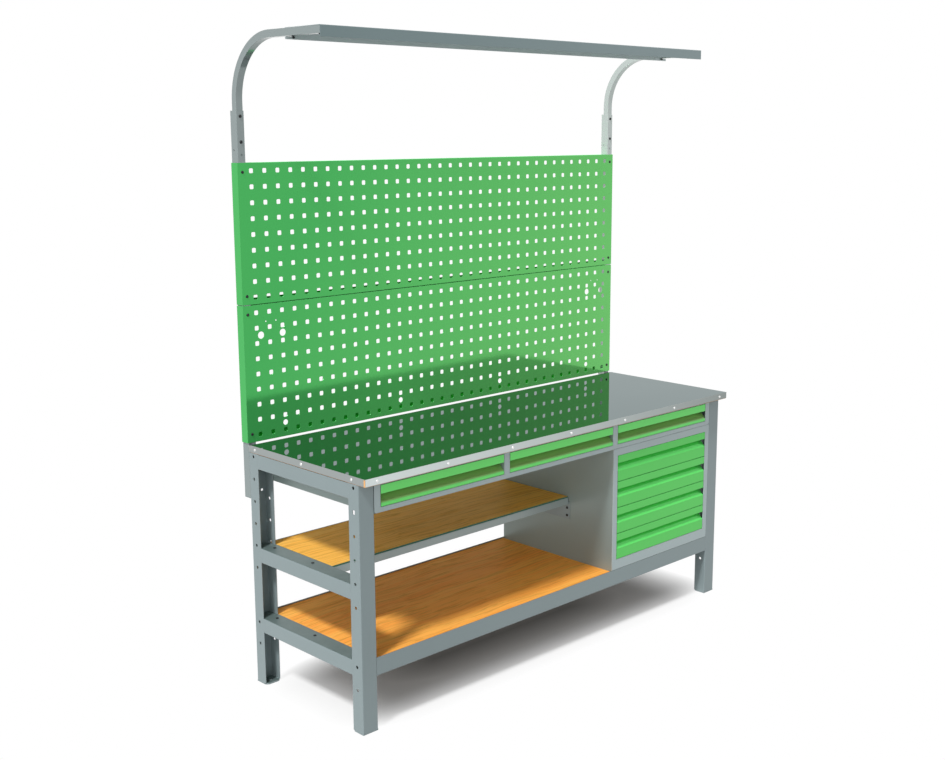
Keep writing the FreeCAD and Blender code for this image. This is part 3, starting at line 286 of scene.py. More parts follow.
def powder_coat(name, colour, metal=0.15, low=0.24, high=0.38, rubbed=(0.46, 0.52, 0.53), wear=0.5,
                peel_depth=0.00003, far=None, sweep=(0, 0, 0), start=0, upward=None, dull=0.5, specular=0.5):
    """Powder coat over steel, between a low and a high roughness, with a paler rubbed line along
    its edges. Where sweep times the place plus start grows from 0 to 1, the coat passes into its
    far tone. Faces that look up take the upward tone, painted light on them, and the dull roughness."""
    material, tree, shader = new_material(name)
    shader.inputs["Metallic"].default_value = metal
    shader.inputs["Specular IOR Level"].default_value = specular
    coat = placed(tree, sprayed, Colour=(*colour, 1), Far=(*(far or colour), 1), Sweep=sweep, Start=start,
                  Upward=(*(upward or colour), 1), Lying=1.0 if upward else 0.0)
    edges = placed(tree, edge_wear)
    amount = add(tree, "ShaderNodeMath", {1: wear}, operation="MULTIPLY")
    skin = add(tree, "ShaderNodeMix", {7: (*rubbed, 1)}, data_type="RGBA")
    gloss = add(tree, "ShaderNodeMapRange", {"To Min": low, "To Max": high})
    dulled = add(tree, "ShaderNodeMix", {3: dull}, data_type="FLOAT")
    bump = add(tree, "ShaderNodeBump", {"Strength": 1, "Distance": peel_depth})
    tree.links.new(edges.outputs["Mask"], amount.inputs[0])
    tree.links.new(amount.outputs[0], skin.inputs[0])
    tree.links.new(coat.outputs["Colour"], skin.inputs[6])
    tree.links.new(skin.outputs[2], shader.inputs["Base Color"])
    tree.links.new(coat.outputs["Gloss"], gloss.inputs["Value"])
    tree.links.new(coat.outputs["Lying"], dulled.inputs[0])
    tree.links.new(gloss.outputs[0], dulled.inputs[2])
    tree.links.new(dulled.outputs[0], shader.inputs["Roughness"])
    tree.links.new(coat.outputs["Height"], bump.inputs["Height"])
    tree.links.new(edges.outputs["Normal"], bump.inputs["Normal"])
    tree.links.new(bump.outputs[0], shader.inputs["Normal"])
    return material


def finish(material, *names):
    """Give CAD pieces their finish."""
    for name in names:
        nodes[name].data.materials.clear()
        nodes[name].data.materials.append(material)


legs = ("front_left_leg", "front_right_leg", "rear_left_leg", "rear_right_leg")
# Faces that look up are painted darker in this coat: painted shade on the tops of flanges, rails and foot
# plates.
grey_coat = powder_coat("grey powder coat", (0.27, 0.335, 0.345), upward=(0.105, 0.15, 0.145))
finish(grey_coat, *legs, "foot_plates")


def new_piece(name, mesh, material, body):
    """A piece of the bench made here: an object that rides on a body and takes the finish it is given."""
    piece = bpy.data.objects.new(name, mesh)
    bpy.context.scene.collection.objects.link(piece)
    mesh.materials.append(material)
    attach(piece, body)
    return piece


def bead(shape, points, radius, step):
    """A weld bead along a line of points: rings that swell and shrink with each ripple."""
    sides = 8
    rings = []
    for begin, reached_point in zip(points, points[1:]):
        run = Vector(reached_point) - Vector(begin)
        count = max(2, round(run.length / step))
        along = run.normalized()
        side = along.cross(Vector((0, 0, 1))).normalized()
        for index in range(count):
            centre = Vector(begin) + run * index / (count - 1)
            size = radius * (1 + 0.16 * (-1) ** index + 0.07 * math.sin(index * 1.7))
            ring = []
            for corner in range(sides):
                turn_angle = 2 * math.pi * corner / sides
                offset = side * math.cos(turn_angle) + Vector((0, 0, 1)) * math.sin(turn_angle)
                ring.append(shape.verts.new(centre + offset * size))
            rings.append(ring)
    for first, second in zip(rings, rings[1:]):
        for corner in range(sides):
            follow = (corner + 1) % sides
            shape.faces.new((first[corner], first[follow], second[follow], second[corner]))
    shape.faces.new(rings[0][::-1])
    shape.faces.new(rings[-1])


sheet = 0.002
foot_top = 0.005
end_gap = 0.003
bead_radius = 0.0022
ripple = 0.0016
beads = bmesh.new()
for name in legs:
    low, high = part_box(name)
    web = low.y + sheet if "front" in name else high.y - sheet
    lips = high.y - end_gap if "front" in name else low.y + end_gap
    near_side = low.x + sheet
    far_side = high.x - sheet
    bead(beads, [(near_side, lips, foot_top), (near_side, web, foot_top),
                 (far_side, web, foot_top), (far_side, lips, foot_top)], bead_radius, ripple)
beads.normal_update()
bead_mesh = bpy.data.meshes.new("foot_welds")
beads.to_mesh(bead_mesh)
beads.free()
bead_mesh.shade_smooth()
new_piece("foot_welds", bead_mesh, grey_coat, "frame")


# Rails: channels across each end at three heights, a front and a rear rail with a ledge for the
# lower shelf, and a tie at the top of the rear legs, all in the legs' grey coat.
finish(grey_coat, "left_top_rail", "left_mid_rail", "left_bottom_rail", "right_top_rail", "right_mid_rail",
       "right_bottom_rail", "front_lower_rail", "rear_lower_rail", "rear_top_rail")


# Shelf boards: varnished plywood with a warm orange face and a long streaky grain. The lower
# board drops in behind the front rail's ledge, and its cut edges show the plies. The middle one
# is yellower, with dark green edges.
grain, start, end = new_group(
    "long grain", [("Streak", "Float", 30), ("Stretch", "Float", 0.035)],
    [("Figure", "Float"), ("Line", "Float"), ("Height", "Float")])
spot = add(grain, "ShaderNodeTexCoord")
shrunk = add(grain, "ShaderNodeCombineXYZ", {"Y": 1, "Z": 1})
along = add(grain, "ShaderNodeVectorMath", operation="MULTIPLY")
wander = add(grain, "ShaderNodeTexNoise", {"Scale": 3.2, "Detail": 2})
shifted = add(grain, "ShaderNodeVectorMath", operation="MULTIPLY_ADD")
shifted.inputs[1].default_value = (0, 0.05, 0.05)
figure = add(grain, "ShaderNodeTexNoise", {"Detail": 5, "Roughness": 0.62, "Distortion": 0.35})
finer = add(grain, "ShaderNodeMath", {1: 3.6}, operation="MULTIPLY")
lines = add(grain, "ShaderNodeTexNoise", {"Detail": 4, "Roughness": 0.7, "Distortion": 0.1})
darkened = add(grain, "ShaderNodeMapRange", {"From Min": 0.48, "From Max": 0.66})
hollow = add(grain, "ShaderNodeMath", {0: 1}, operation="SUBTRACT")
grain.links.new(start.outputs["Stretch"], shrunk.inputs["X"])
grain.links.new(spot.outputs["Object"], wander.inputs["Vector"])
grain.links.new(wander.outputs["Color"], shifted.inputs[0])
grain.links.new(spot.outputs["Object"], shifted.inputs[2])
grain.links.new(shifted.outputs[0], along.inputs[0])
grain.links.new(shrunk.outputs[0], along.inputs[1])
grain.links.new(along.outputs[0], figure.inputs["Vector"])
grain.links.new(start.outputs["Streak"], figure.inputs["Scale"])
grain.links.new(along.outputs[0], lines.inputs["Vector"])
grain.links.new(start.outputs["Streak"], finer.inputs[0])
grain.links.new(finer.outputs[0], lines.inputs["Scale"])
grain.links.new(lines.outputs["Fac"], darkened.inputs["Value"])
grain.links.new(darkened.outputs[0], hollow.inputs[1])
grain.links.new(figure.outputs["Fac"], end.inputs["Figure"])
grain.links.new(darkened.outputs[0], end.inputs["Line"])
grain.links.new(hollow.outputs[0], end.inputs["Height"])

bare_under = (0.42, 0.36, 0.30, 1)
grain_line = (0.36, 0.13, 0.022, 1)
line_strength = 0.42
ply_pitch = 0.0015


# The default ply tones are painted lighter than the plies: painted light on cut edges that sit in shade.
def varnished_ply(name, light, dark, edge_light=(1.0, 0.60, 0.28, 1), edge_dark=(0.86, 0.42, 0.15, 1)):
    """Varnished plywood between two face tones, with its plies in the edges and a bare underside."""
    board, tree, shader = new_material(name)
    fibres = placed(tree, grain)
    warmth = add(tree, "ShaderNodeMapRange", {"From Min": 0.32, "From Max": 0.68})
    face = add(tree, "ShaderNodeMix", {6: dark, 7: light}, data_type="RGBA")
    thin = add(tree, "ShaderNodeMath", {1: line_strength}, operation="MULTIPLY")
    streaked = add(tree, "ShaderNodeMix", {7: grain_line}, data_type="RGBA")
    spot = add(tree, "ShaderNodeTexCoord")
    levels = add(tree, "ShaderNodeSeparateXYZ")
    layer = add(tree, "ShaderNodeMath", {1: ply_pitch * 2}, operation="WRAP")
    layer.inputs[2].default_value = 0
    odd = add(tree, "ShaderNodeMath", {1: ply_pitch}, operation="GREATER_THAN")
    plies = add(tree, "ShaderNodeMix", {6: edge_light, 7: edge_dark}, data_type="RGBA")
    facing = add(tree, "ShaderNodeSeparateXYZ")
    level_face = add(tree, "ShaderNodeMath", operation="ABSOLUTE")
    is_face = add(tree, "ShaderNodeMath", {1: 0.5}, operation="GREATER_THAN")
    is_under = add(tree, "ShaderNodeMath", {1: -0.5}, operation="LESS_THAN")
    wood = add(tree, "ShaderNodeMix", data_type="RGBA")
    sides = add(tree, "ShaderNodeMix", {7: bare_under}, data_type="RGBA")
    sheen = add(tree, "ShaderNodeMapRange", {"To Min": 0.50, "To Max": 0.68})
    bump = add(tree, "ShaderNodeBump", {"Strength": 0.5, "Distance": 0.0002})
    edges = placed(tree, edge_wear, Width=0.002, Breaks=40)
    shader.inputs["Specular IOR Level"].default_value = 0.04
    tree.links.new(fibres.outputs["Figure"], warmth.inputs["Value"])
    tree.links.new(warmth.outputs[0], face.inputs[0])
    tree.links.new(fibres.outputs["Line"], thin.inputs[0])
    tree.links.new(thin.outputs[0], streaked.inputs[0])
    tree.links.new(face.outputs[2], streaked.inputs[6])
    tree.links.new(spot.outputs["Object"], levels.inputs[0])
    tree.links.new(levels.outputs["Z"], layer.inputs[0])
    tree.links.new(layer.outputs[0], odd.inputs[0])
    tree.links.new(odd.outputs[0], plies.inputs[0])
    tree.links.new(spot.outputs["Normal"], facing.inputs[0])
    tree.links.new(facing.outputs["Z"], level_face.inputs[0])
    tree.links.new(level_face.outputs[0], is_face.inputs[0])
    tree.links.new(is_face.outputs[0], wood.inputs[0])
    tree.links.new(plies.outputs[2], wood.inputs[6])
    tree.links.new(streaked.outputs[2], wood.inputs[7])
    tree.links.new(facing.outputs["Z"], is_under.inputs[0])
    tree.links.new(is_under.outputs[0], sides.inputs[0])
    tree.links.new(wood.outputs[2], sides.inputs[6])
    tree.links.new(sides.outputs[2], shader.inputs["Base Color"])
    tree.links.new(fibres.outputs["Line"], sheen.inputs["Value"])
    tree.links.new(sheen.outputs[0], shader.inputs["Roughness"])
    tree.links.new(fibres.outputs["Height"], bump.inputs["Height"])
    tree.links.new(edges.outputs["Normal"], bump.inputs["Normal"])
    tree.links.new(bump.outputs[0], shader.inputs["Normal"])
    return board


lower_ply = varnished_ply("varnished ply", (1.0, 0.49, 0.095, 1), (1.0, 0.37, 0.06, 1))
middle_ply = varnished_ply("yellow varnished ply", (1.0, 0.56, 0.11, 1), (0.94, 0.46, 0.065, 1),
                           (0.10, 0.24, 0.17, 1), (0.07, 0.19, 0.13, 1))
finish(lower_ply, "bottom_shelf_board")
finish(middle_ply, "mid_shelf_board")


# Middle shelf: a folded steel tray under the half-depth board. It hangs on the left middle rail
# and on a bracket bolted to the pedestal's side, both in a grey coat. The tray's is paler.
# The tray's upward faces are painted darker too: painted shade.
tray_coat = powder_coat("shelf tray coat", (0.38, 0.47, 0.48), upward=(0.105, 0.15, 0.145))
finish(tray_coat, "mid_shelf_tray")
finish(grey_coat, "mid_shelf_bracket")


# Shelf screws: blackened pan heads with a cross recess. Three pass through each lower and middle
# end rail, and four hold the bracket to the pedestal.
def turned(name, profile, sides=32):
    """A mesh turned about Z from (radius, height) points; a radius of 0 closes the end."""
    shape = bmesh.new()
    rings = []
    for radius, height in profile:
        if radius == 0:
            rings.append([shape.verts.new((0, 0, height))])
        else:
            rings.append([shape.verts.new((radius * math.cos(2 * math.pi * index / sides),
                                           radius * math.sin(2 * math.pi * index / sides), height))
                          for index in range(sides)])
    for first, second in zip(rings, rings[1:]):
        for index in range(sides):
            follow = (index + 1) % sides
            corners = [first[index % len(first)], first[follow % len(first)],
                       second[follow % len(second)], second[index % len(second)]]
            shape.faces.new(list(dict.fromkeys(corners)))
    bmesh.ops.recalc_face_normals(shape, faces=shape.faces)
    mesh = bpy.data.meshes.new(name)
    shape.to_mesh(mesh)
    shape.free()
    return mesh


def prism(name, outline, base, top, taper=1.0):
    """A mesh raised from an outline in XY between two heights; taper scales the base."""
    count = len(outline)
    points = [(x * taper, y * taper, base) for x, y in outline] + [(x, y, top) for x, y in outline]
    sides = [(index, (index + 1) % count, (index + 1) % count + count, index + count)
             for index in range(count)]
    mesh = bpy.data.meshes.new(name)
    mesh.from_pydata(points, [], sides + [tuple(range(count))[::-1], tuple(range(count, 2 * count))])
    return mesh


def carved(mesh, tool, operation):
    """One closed mesh cut by, or kept inside, another."""
    blank = bpy.data.objects.new("blank", mesh)
    cutter = bpy.data.objects.new("cutter", tool)
    for item in (blank, cutter):
        bpy.context.scene.collection.objects.link(item)
    step = blank.modifiers.new("carve", "BOOLEAN")
    step.operation = operation
    step.object = cutter
    result = bpy.data.meshes.new_from_object(blank.evaluated_get(bpy.context.evaluated_depsgraph_get()))
    for item in (blank, cutter):
        bpy.data.objects.remove(item)
    return result


def pan_head(radius, height, shank, length):
    """A domed head with a cross recess, seated at Z 0, on a ringed shank that runs down."""
    arm, half = radius * 0.5, radius * 0.13
    cross = [(half, half), (half, arm), (-half, arm), (-half, half), (-arm, half), (-arm, -half),
             (-half, -half), (-half, -arm), (half, -arm), (half, -half), (arm, -half), (arm, half)]
    profile = [(0, height), (radius * 0.55, height * 0.97), (radius * 0.82, height * 0.80),
               (radius * 0.96, height * 0.48), (radius, height * 0.16), (radius * 0.98, 0), (shank, 0)]
    pitch = 0.001
    for index in range(int(length / pitch) - 1):
        profile += [(shank, -pitch * (index + 0.2)), (shank * 0.86, -pitch * (index + 0.7))]
    profile += [(shank * 0.7, -length), (0, -length)]
    recess = prism("recess", cross[::-1], height * 0.25, height * 1.3, 0.45)
    return carved(turned("head", profile), recess, "DIFFERENCE")


def set_out(name, kinds, places, material, slot, *replaced):
    """Copies of fastener meshes at their places, joined in one piece that stands for CAD nodes.
    Each place is (kind, point, the direction that the head faces)."""
    shape = bmesh.new()
    for kind, point, direction in places:
        first = len(shape.verts)
        shape.from_mesh(kinds[kind])
        shape.verts.ensure_lookup_table()
        turn_to = Vector(direction).to_track_quat("Z", "Y").to_matrix().to_4x4()
        bmesh.ops.transform(shape, matrix=Matrix.Translation(point) @ turn_to, verts=shape.verts[first:])
    mesh = bpy.data.meshes.new(name)
    shape.to_mesh(mesh)
    shape.free()
    mesh.shade_smooth()
    mesh.set_sharp_from_angle(angle=math.radians(35))
    piece = new_piece(name, mesh, material, "frame")
    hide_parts(*replaced)


def plated(name, colour, rubbed, metal=1.0, low=0.30, high=0.50, wear=0.5):
    """Plated or blackened steel: fine turning marks, stained tone and bright rubbed edges. The
    roughness lies between low and high."""
    material, tree, shader = new_material(name)
    spot = add(tree, "ShaderNodeTexCoord")
    stain = add(tree, "ShaderNodeTexNoise", {"Scale": 90, "Detail": 4, "Roughness": 0.6})
    marks = add(tree, "ShaderNodeTexNoise", {"Scale": 900, "Detail": 2})
    tone = add(tree, "ShaderNodeMix", {6: tuple(part * 0.72 for part in colour) + (1,), 7: (*colour, 1)},
               data_type="RGBA")
    edges = placed(tree, edge_wear, Width=0.0006, Breaks=400)
    amount = add(tree, "ShaderNodeMath", {1: wear}, operation="MULTIPLY")
    skin = add(tree, "ShaderNodeMix", {7: (*rubbed, 1)}, data_type="RGBA")
    gloss = add(tree, "ShaderNodeMapRange", {"To Min": low, "To Max": high})
    bump = add(tree, "ShaderNodeBump", {"Strength": 0.4, "Distance": 0.00004})
    shader.inputs["Metallic"].default_value = metal
    for item in (stain, marks):
        tree.links.new(spot.outputs["Object"], item.inputs["Vector"])
    tree.links.new(stain.outputs["Fac"], tone.inputs[0])
    tree.links.new(edges.outputs["Mask"], amount.inputs[0])
    tree.links.new(amount.outputs[0], skin.inputs[0])
    tree.links.new(tone.outputs[2], skin.inputs[6])
    tree.links.new(skin.outputs[2], shader.inputs["Base Color"])
    tree.links.new(stain.outputs["Fac"], gloss.inputs["Value"])
    tree.links.new(gloss.outputs[0], shader.inputs["Roughness"])
    tree.links.new(marks.outputs["Fac"], bump.inputs["Height"])
    tree.links.new(edges.outputs["Normal"], bump.inputs["Normal"])
    tree.links.new(bump.outputs[0], shader.inputs["Normal"])
    return material


black_oxide = plated("black oxide", (0.030, 0.032, 0.034), (0.20, 0.20, 0.20), metal=0.6, wear=0.6)
m6_head, m6_height, m6_shank = 0.0052, 0.003, 0.003
rail_screw = pan_head(m6_head, m6_height, m6_shank, 0.012)
bracket_screw = pan_head(m6_head, m6_height, m6_shank, 0.008)
rail_line_x, rail_middle_y, rail_screw_pitch = 0.862, 0.00235, 0.2065
rail_tops = (0.4765, 0.2335)
bracket_face_x = 0.265
bracket_levels = (0.402, 0.431)
bracket_ends = (-0.059, 0.259)
screw_places = []
for side in (-1, 1):
    for rail_top in rail_tops:
        for row in (-1, 0, 1):
            screw_y = rail_middle_y + row * rail_screw_pitch
            screw_places.append(("rail", (side * rail_line_x, screw_y, rail_top), (0, 0, 1)))
for level_z in bracket_levels:
    for depth_y in bracket_ends:
        screw_places.append(("bracket", (bracket_face_x, depth_y, level_z), (-1, 0, 0)))
set_out("shelf_screw_set", {"rail": rail_screw, "bracket": bracket_screw}, screw_places, black_oxide,
        "black_steel", "shelf_screws")


# Drawer cases: a shallow case for three drawers under the top and a tall one for four at the
# right, each a folded steel shell with a plate frame around the fronts. The frames are paler.
shell_coat = powder_coat("case shell coat", (0.31, 0.39, 0.375), low=0.26, high=0.40,
                         far=(0.235, 0.285, 0.275), sweep=(0, -3, -3), start=1.18)
frame_coat = powder_coat("case frame coat", (0.45, 0.54, 0.55), low=0.26, high=0.40,
                         rubbed=(0.60, 0.66, 0.67))
finish(shell_coat, "cassette_shell", "pedestal_shell")
finish(frame_coat, "cassette_front_frame", "pedestal_front_frame")


# Runners and slides: zinc-plated rolled channels. The fixed ones are riveted to the cases and
# the moving ones to the drawer boxes.
drawer_numbers = range(1, 8)
zinc = plated("zinc plate", (0.62, 0.63, 0.64), (0.80, 0.80, 0.80), low=0.22, high=0.42)
finish(zinc, "cassette_runners", "pedestal_runners")
for number in drawer_numbers:
    finish(zinc, "drawer_%d_slides" % number)


# Drawers: a folded grey box behind a green front. The front is one sheet folded into a raised
# band with a full-width finger groove under it. The top row's fronts are painted lighter, a painted
# light, and deep in their grooves they turn olive, a painted reflection of the board's edge above.
smooth_green = {"metal": 0.25, "low": 0.05, "high": 0.13, "rubbed": (0.35, 0.74, 0.38), "wear": 0.45,
                "peel_depth": 0.00001}
top_row = (1, 2, 3)
# Faces that look up, the groove slopes, are painted lighter in this coat: painted light.
green_coat = powder_coat("green powder coat", (0.125, 0.70, 0.135), upward=(0.10, 0.84, 0.15), dull=0.12,
                         specular=0.3, **smooth_green)
# Top row: the green painted lighter as painted light, and olive deep in the groove, a painted reflection.
top_row_painted_light_coat = powder_coat("green coat with painted light and reflection", (0.165, 0.86, 0.17), far=(0.24, 0.50, 0.13),
                        sweep=(0, 500, 0), start=140.2, **smooth_green)
for number in drawer_numbers:
    finish(grey_coat, "drawer_%d_box" % number)
    finish(top_row_painted_light_coat if number in top_row else green_coat, "drawer_%d_front" % number)


# Worktop: a wooden board under a thin sheet of polished steel, folded down on all four sides.
# The flat is nearly a mirror; the folds carry the brushing of the folding press, and their colour is
# painted light: pale at the left of the front fold, darker to its right and on the end folds.
# The board's ply edges, in shade under the folds, take those lighter tones as painted light.
finish(lower_ply, "worktop_board")
flat_tone = (0.257, 0.295, 0.295, 1)
flat_drift = tuple(part * 0.92 for part in flat_tone[:3]) + (1,)
# Painted light on the folds: pale at the left of the front fold, darker to its right, darker on the end
# folds.
fold_painted_light_left = (0.66, 0.72, 0.71, 1)
fold_painted_shade_right = (0.30, 0.33, 0.32, 1)
end_fold_painted_shade = (0.40, 0.43, 0.425, 1)
cover_finish, tree, shader = new_material("polished sheet")
shader.inputs["Metallic"].default_value = 1
shader.inputs["Specular Tint"].default_value = (0.66, 0.71, 0.71, 1)
spot = add(tree, "ShaderNodeTexCoord")
facing = add(tree, "ShaderNodeSeparateXYZ")
is_flat = add(tree, "ShaderNodeMath", {1: 0.6}, operation="GREATER_THAN")
across = add(tree, "ShaderNodeSeparateXYZ")
sweep = add(tree, "ShaderNodeMapRange", {"From Min": -0.88, "From Max": 0.88})
fold = add(tree, "ShaderNodeMix", {6: fold_painted_light_left, 7: fold_painted_shade_right}, data_type="RGBA")
sideways = add(tree, "ShaderNodeMath", operation="ABSOLUTE")
is_end = add(tree, "ShaderNodeMath", {1: 0.6}, operation="GREATER_THAN")
folds = add(tree, "ShaderNodeMix", {7: end_fold_painted_shade}, data_type="RGBA")
stretched = add(tree, "ShaderNodeVectorMath", {1: (0.6, 14, 14)}, operation="MULTIPLY")
brushing = add(tree, "ShaderNodeTexNoise", {"Scale": 60, "Detail": 4, "Roughness": 0.65})
drift = add(tree, "ShaderNodeTexNoise", {"Scale": 3.5, "Detail": 3})
mirror = add(tree, "ShaderNodeMix", {6: flat_drift, 7: flat_tone}, data_type="RGBA")
skin = add(tree, "ShaderNodeMix", data_type="RGBA")
edges = placed(tree, edge_wear, Width=0.0012, Breaks=25)
amount = add(tree, "ShaderNodeMath", {1: 0.6}, operation="MULTIPLY")
lined = add(tree, "ShaderNodeMix", {7: (0.85, 0.86, 0.86, 1)}, data_type="RGBA")
flat_gloss = add(tree, "ShaderNodeMapRange", {"To Min": 0.012, "To Max": 0.035})
fold_gloss = add(tree, "ShaderNodeMapRange", {"To Min": 0.28, "To Max": 0.42})
gloss = add(tree, "ShaderNodeMix", data_type="FLOAT")
bump = add(tree, "ShaderNodeBump", {"Strength": 0.15, "Distance": 0.00001})
tree.links.new(spot.outputs["Normal"], facing.inputs[0])
tree.links.new(facing.outputs["Z"], is_flat.inputs[0])
tree.links.new(spot.outputs["Object"], across.inputs[0])
tree.links.new(across.outputs["X"], sweep.inputs["Value"])
tree.links.new(sweep.outputs[0], fold.inputs[0])
tree.links.new(spot.outputs["Object"], stretched.inputs[0])
tree.links.new(stretched.outputs[0], brushing.inputs["Vector"])
tree.links.new(spot.outputs["Object"], drift.inputs["Vector"])
tree.links.new(drift.outputs["Fac"], mirror.inputs[0])
tree.links.new(is_flat.outputs[0], skin.inputs[0])
tree.links.new(facing.outputs["X"], sideways.inputs[0])
tree.links.new(sideways.outputs[0], is_end.inputs[0])
tree.links.new(is_end.outputs[0], folds.inputs[0])
tree.links.new(fold.outputs[2], folds.inputs[6])
tree.links.new(folds.outputs[2], skin.inputs[6])
tree.links.new(mirror.outputs[2], skin.inputs[7])
tree.links.new(edges.outputs["Mask"], amount.inputs[0])
tree.links.new(amount.outputs[0], lined.inputs[0])
tree.links.new(skin.outputs[2], lined.inputs[6])
tree.links.new(lined.outputs[2], shader.inputs["Base Color"])
tree.links.new(drift.outputs["Fac"], flat_gloss.inputs["Value"])
tree.links.new(brushing.outputs["Fac"], fold_gloss.inputs["Value"])
tree.links.new(is_flat.outputs[0], gloss.inputs[0])
tree.links.new(fold_gloss.outputs[0], gloss.inputs[2])
tree.links.new(flat_gloss.outputs[0], gloss.inputs[3])
tree.links.new(gloss.outputs[0], shader.inputs["Roughness"])
tree.links.new(brushing.outputs["Fac"], bump.inputs["Height"])
tree.links.new(edges.outputs["Normal"], bump.inputs["Normal"])
tree.links.new(bump.outputs[0], shader.inputs["Normal"])
finish(cover_finish, "worktop_cover")


# Worktop screws: bright zinc pan heads, seven through the front fold and three through each
# side fold, into the board.
bright_zinc = plated("bright zinc", (0.97, 0.97, 0.96), (0.98, 0.98, 0.98), low=0.35)
screw_level = 0.806
front_fold_y, front_pitch = -0.316, 0.2842
side_fold_x, side_first_y, side_pitch = 0.898, -0.251, 0.25
screw_places = []
for index in range(-3, 4):
    screw_places.append(("top", (index * front_pitch, front_fold_y, screw_level), (0, -1, 0)))
for side in (-1, 1):
    for row in range(3):
        screw_y = side_first_y + row * side_pitch
        screw_places.append(("top", (side * side_fold_x, screw_y, screw_level), (side, 0, 0)))
set_out("worktop_screw_set", {"top": pan_head(0.0048, 0.002, 0.002, 0.014)}, screw_places, bright_zinc,
        "zinc_steel", "worktop_screws")


# Uprights: narrow channels behind the rear legs, in a smooth glossy grey coat, painted paler on the
# right one as painted light. Each is held to its leg by two bolts with nuts, and holds its lamp
# arm by two more.
post_coat = powder_coat("glossy grey coat", (0.285, 0.335, 0.335), metal=0.35, low=0.08, high=0.16,
                        rubbed=(0.60, 0.64, 0.63), peel_depth=0.00001, far=(0.56, 0.62, 0.60),
                        sweep=(0.56, 0, 0), start=0.5)
finish(post_coat, "left_upright", "right_upright")


def hexagonal(name, half, height, bored):
    """A six-sided head, or a bored nut, with its corners turned off, from Z 0 up."""
    outline = [(half * math.cos(math.radians(60 * index)), half * math.sin(math.radians(60 * index)))
               for index in range(6)]
    turned_off = [(0, -0.0001), (half * 1.1, -0.0001), (half * 1.1, height * 0.72), (half * 0.86, height),
                  (0, height)]
    blank = carved(prism(name, outline, 0, height), turned("turning", turned_off, 48), "INTERSECT")
    if not bored:
        return blank
    radius, past = half * 0.48, 0.001
    bore = turned("bore", [(0, -past), (radius, -past), (radius, height + past), (0, height + past)])
    return carved(blank, bore, "DIFFERENCE")


def stud(name, radius, base, top):
    """A threaded shank between two heights, with a turned end."""
    profile = [(0, base), (radius * 0.8, base)]
    pitch = 0.00125
    for index in range(int((top - base) / pitch)):
        profile += [(radius, base + pitch * (index + 0.5)), (radius * 0.87, base + pitch * (index + 1))]
    return turned(name, profile + [(0, top)])


def joined_meshes(name, *parts):
    """Meshes, each raised by its own height, as one mesh."""
    shape = bmesh.new()
    for mesh, height in parts:
        first = len(shape.verts)
        shape.from_mesh(mesh)
        shape.verts.ensure_lookup_table()
        bmesh.ops.translate(shape, vec=(0, 0, height), verts=shape.verts[first:])
    result = bpy.data.meshes.new(name)
    shape.to_mesh(result)
    shape.free()
    return result


m8_half, m8_shank = 0.0072, 0.004
m8_head_height, m8_nut_height = 0.005, 0.006
leg_bolt = joined_meshes("leg_bolt", (hexagonal("head", m8_half, m8_head_height, False), 0),
                         (stud("shank", m8_shank, -0.016, 0.0), 0),
                         (hexagonal("nut", m8_half, m8_nut_height, True), -0.010))
arm_head = pan_head(m6_head, m6_height, m8_shank, 0.0325)
arm_bolt = joined_meshes("arm_bolt", (arm_head, 0), (hexagonal("nut", m8_half, m8_nut_height, True), -0.0308))
post_line_x = 0.882
leg_web_y, post_web_y = 0.2872, 0.2852
leg_bolt_levels = (0.658, 0.766)
arm_bolt_levels = (1.785, 1.864)
bolt_places = []
for side in (-1, 1):
    for level_z in leg_bolt_levels:
        bolt_places.append(("leg", (side * post_line_x, leg_web_y, level_z), (0, 1, 0)))
    for level_z in arm_bolt_levels:
        bolt_places.append(("arm", (side * post_line_x, post_web_y, level_z), (0, -1, 0)))
set_out("upright_bolt_set", {"leg": leg_bolt, "arm": arm_bolt}, bolt_places, black_oxide, "black_steel",
        "upright_bolts")


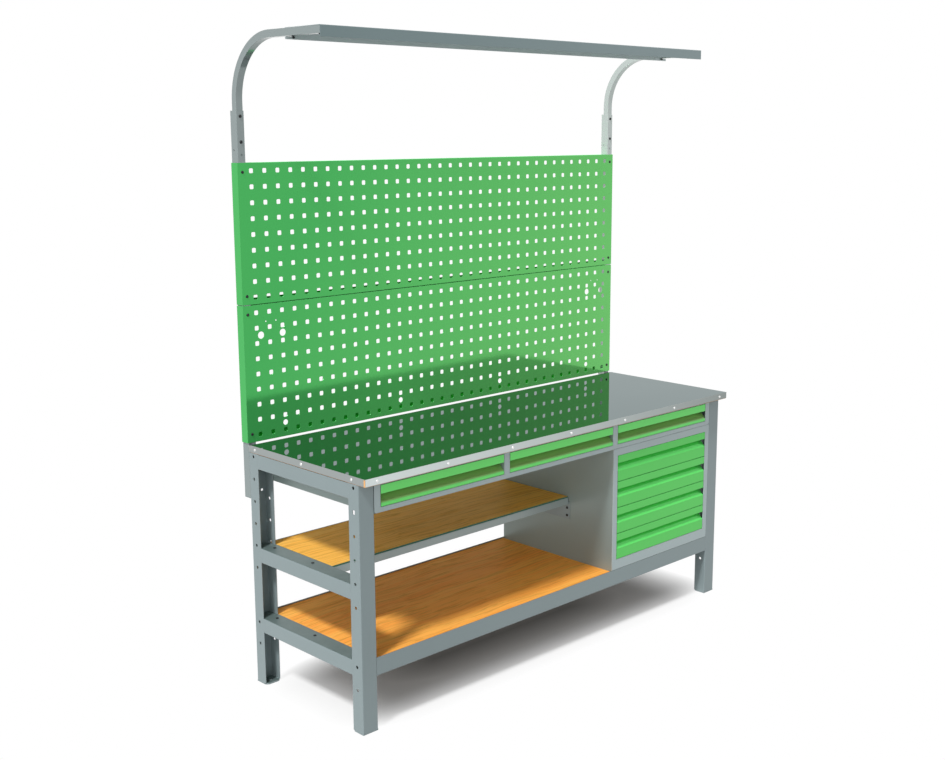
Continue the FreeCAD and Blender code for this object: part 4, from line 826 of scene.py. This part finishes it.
# Perforated panels: one sheet each, punched with square holes and folded back on all four
# sides, in a glossy green coat painted paler towards the right as painted light, and lighter on
# faces that look up, in the seam and the holes, as painted light too. Black screws hold the corners.
# Painted light: paler towards the right, and lighter on upward faces in the seam and the holes.
panel_coat = powder_coat("green panel coat", (0.060, 0.50, 0.110), metal=0.5, low=0.05, high=0.13,
                         rubbed=(0.35, 0.70, 0.38), wear=0.45, peel_depth=0.00001, far=(0.175, 0.66, 0.160),
                         sweep=(0.50, 0, -0.25), start=0.70, upward=(0.20, 1.0, 0.34), dull=0.8)
finish(panel_coat, "lower_pegboard", "upper_pegboard")
panel_face_y = 0.284
panel_screw_levels = (0.8498, 1.2413, 1.3005, 1.692)
screw_places = []
for side in (-1, 1):
    for level_z in panel_screw_levels:
        screw_places.append(("panel", (side * post_line_x, panel_face_y, level_z), (0, -1, 0)))
set_out("panel_screw_set", {"panel": pan_head(0.005, 0.0025, 0.0028, 0.012)}, screw_places, black_oxide,
        "black_steel", "panel_screws")


# Lamp arms and lamp rail: square tube bent forward through a quarter turn, and between the arms
# an inverted channel of sheet with room for a lamp under it, painted paler on its inner faces as
# painted light.
# The rail's coat is the legs' grey painted darker except on upward faces, a painted shade; it turns paler at
# the back and a little towards the right, a painted light.
rail_coat = powder_coat("lamp rail coat", (0.20, 0.275, 0.285), low=0.26, high=0.40, far=(0.62, 0.70, 0.71),
                        sweep=(0.093, 10, 0), start=1.594, upward=(0.27, 0.335, 0.345))
# The arms take the uprights' coat, painted paler on the right one as painted light.
finish(post_coat, "left_lamp_arm", "right_lamp_arm")
finish(rail_coat, "lamp_rail")
arm_screw = pan_head(m6_head, m6_height, m6_shank, 0.024)
arm_under = (-0.136, 2.0925)
rail_back_x, rail_back_y, rail_back_z = 0.8655, 0.019, 2.089
screw_places = []
for side in (-1, 1):
    screw_places.append(("top", (side * post_line_x, *arm_under), (0, 0, -1)))
    screw_places.append(("back", (side * rail_back_x, rail_back_y, rail_back_z), (0, 1, 0)))
set_out("lamp_rail_screw_set", {"top": arm_screw, "back": bracket_screw}, screw_places, black_oxide,
        "black_steel", "lamp_rail_screws")
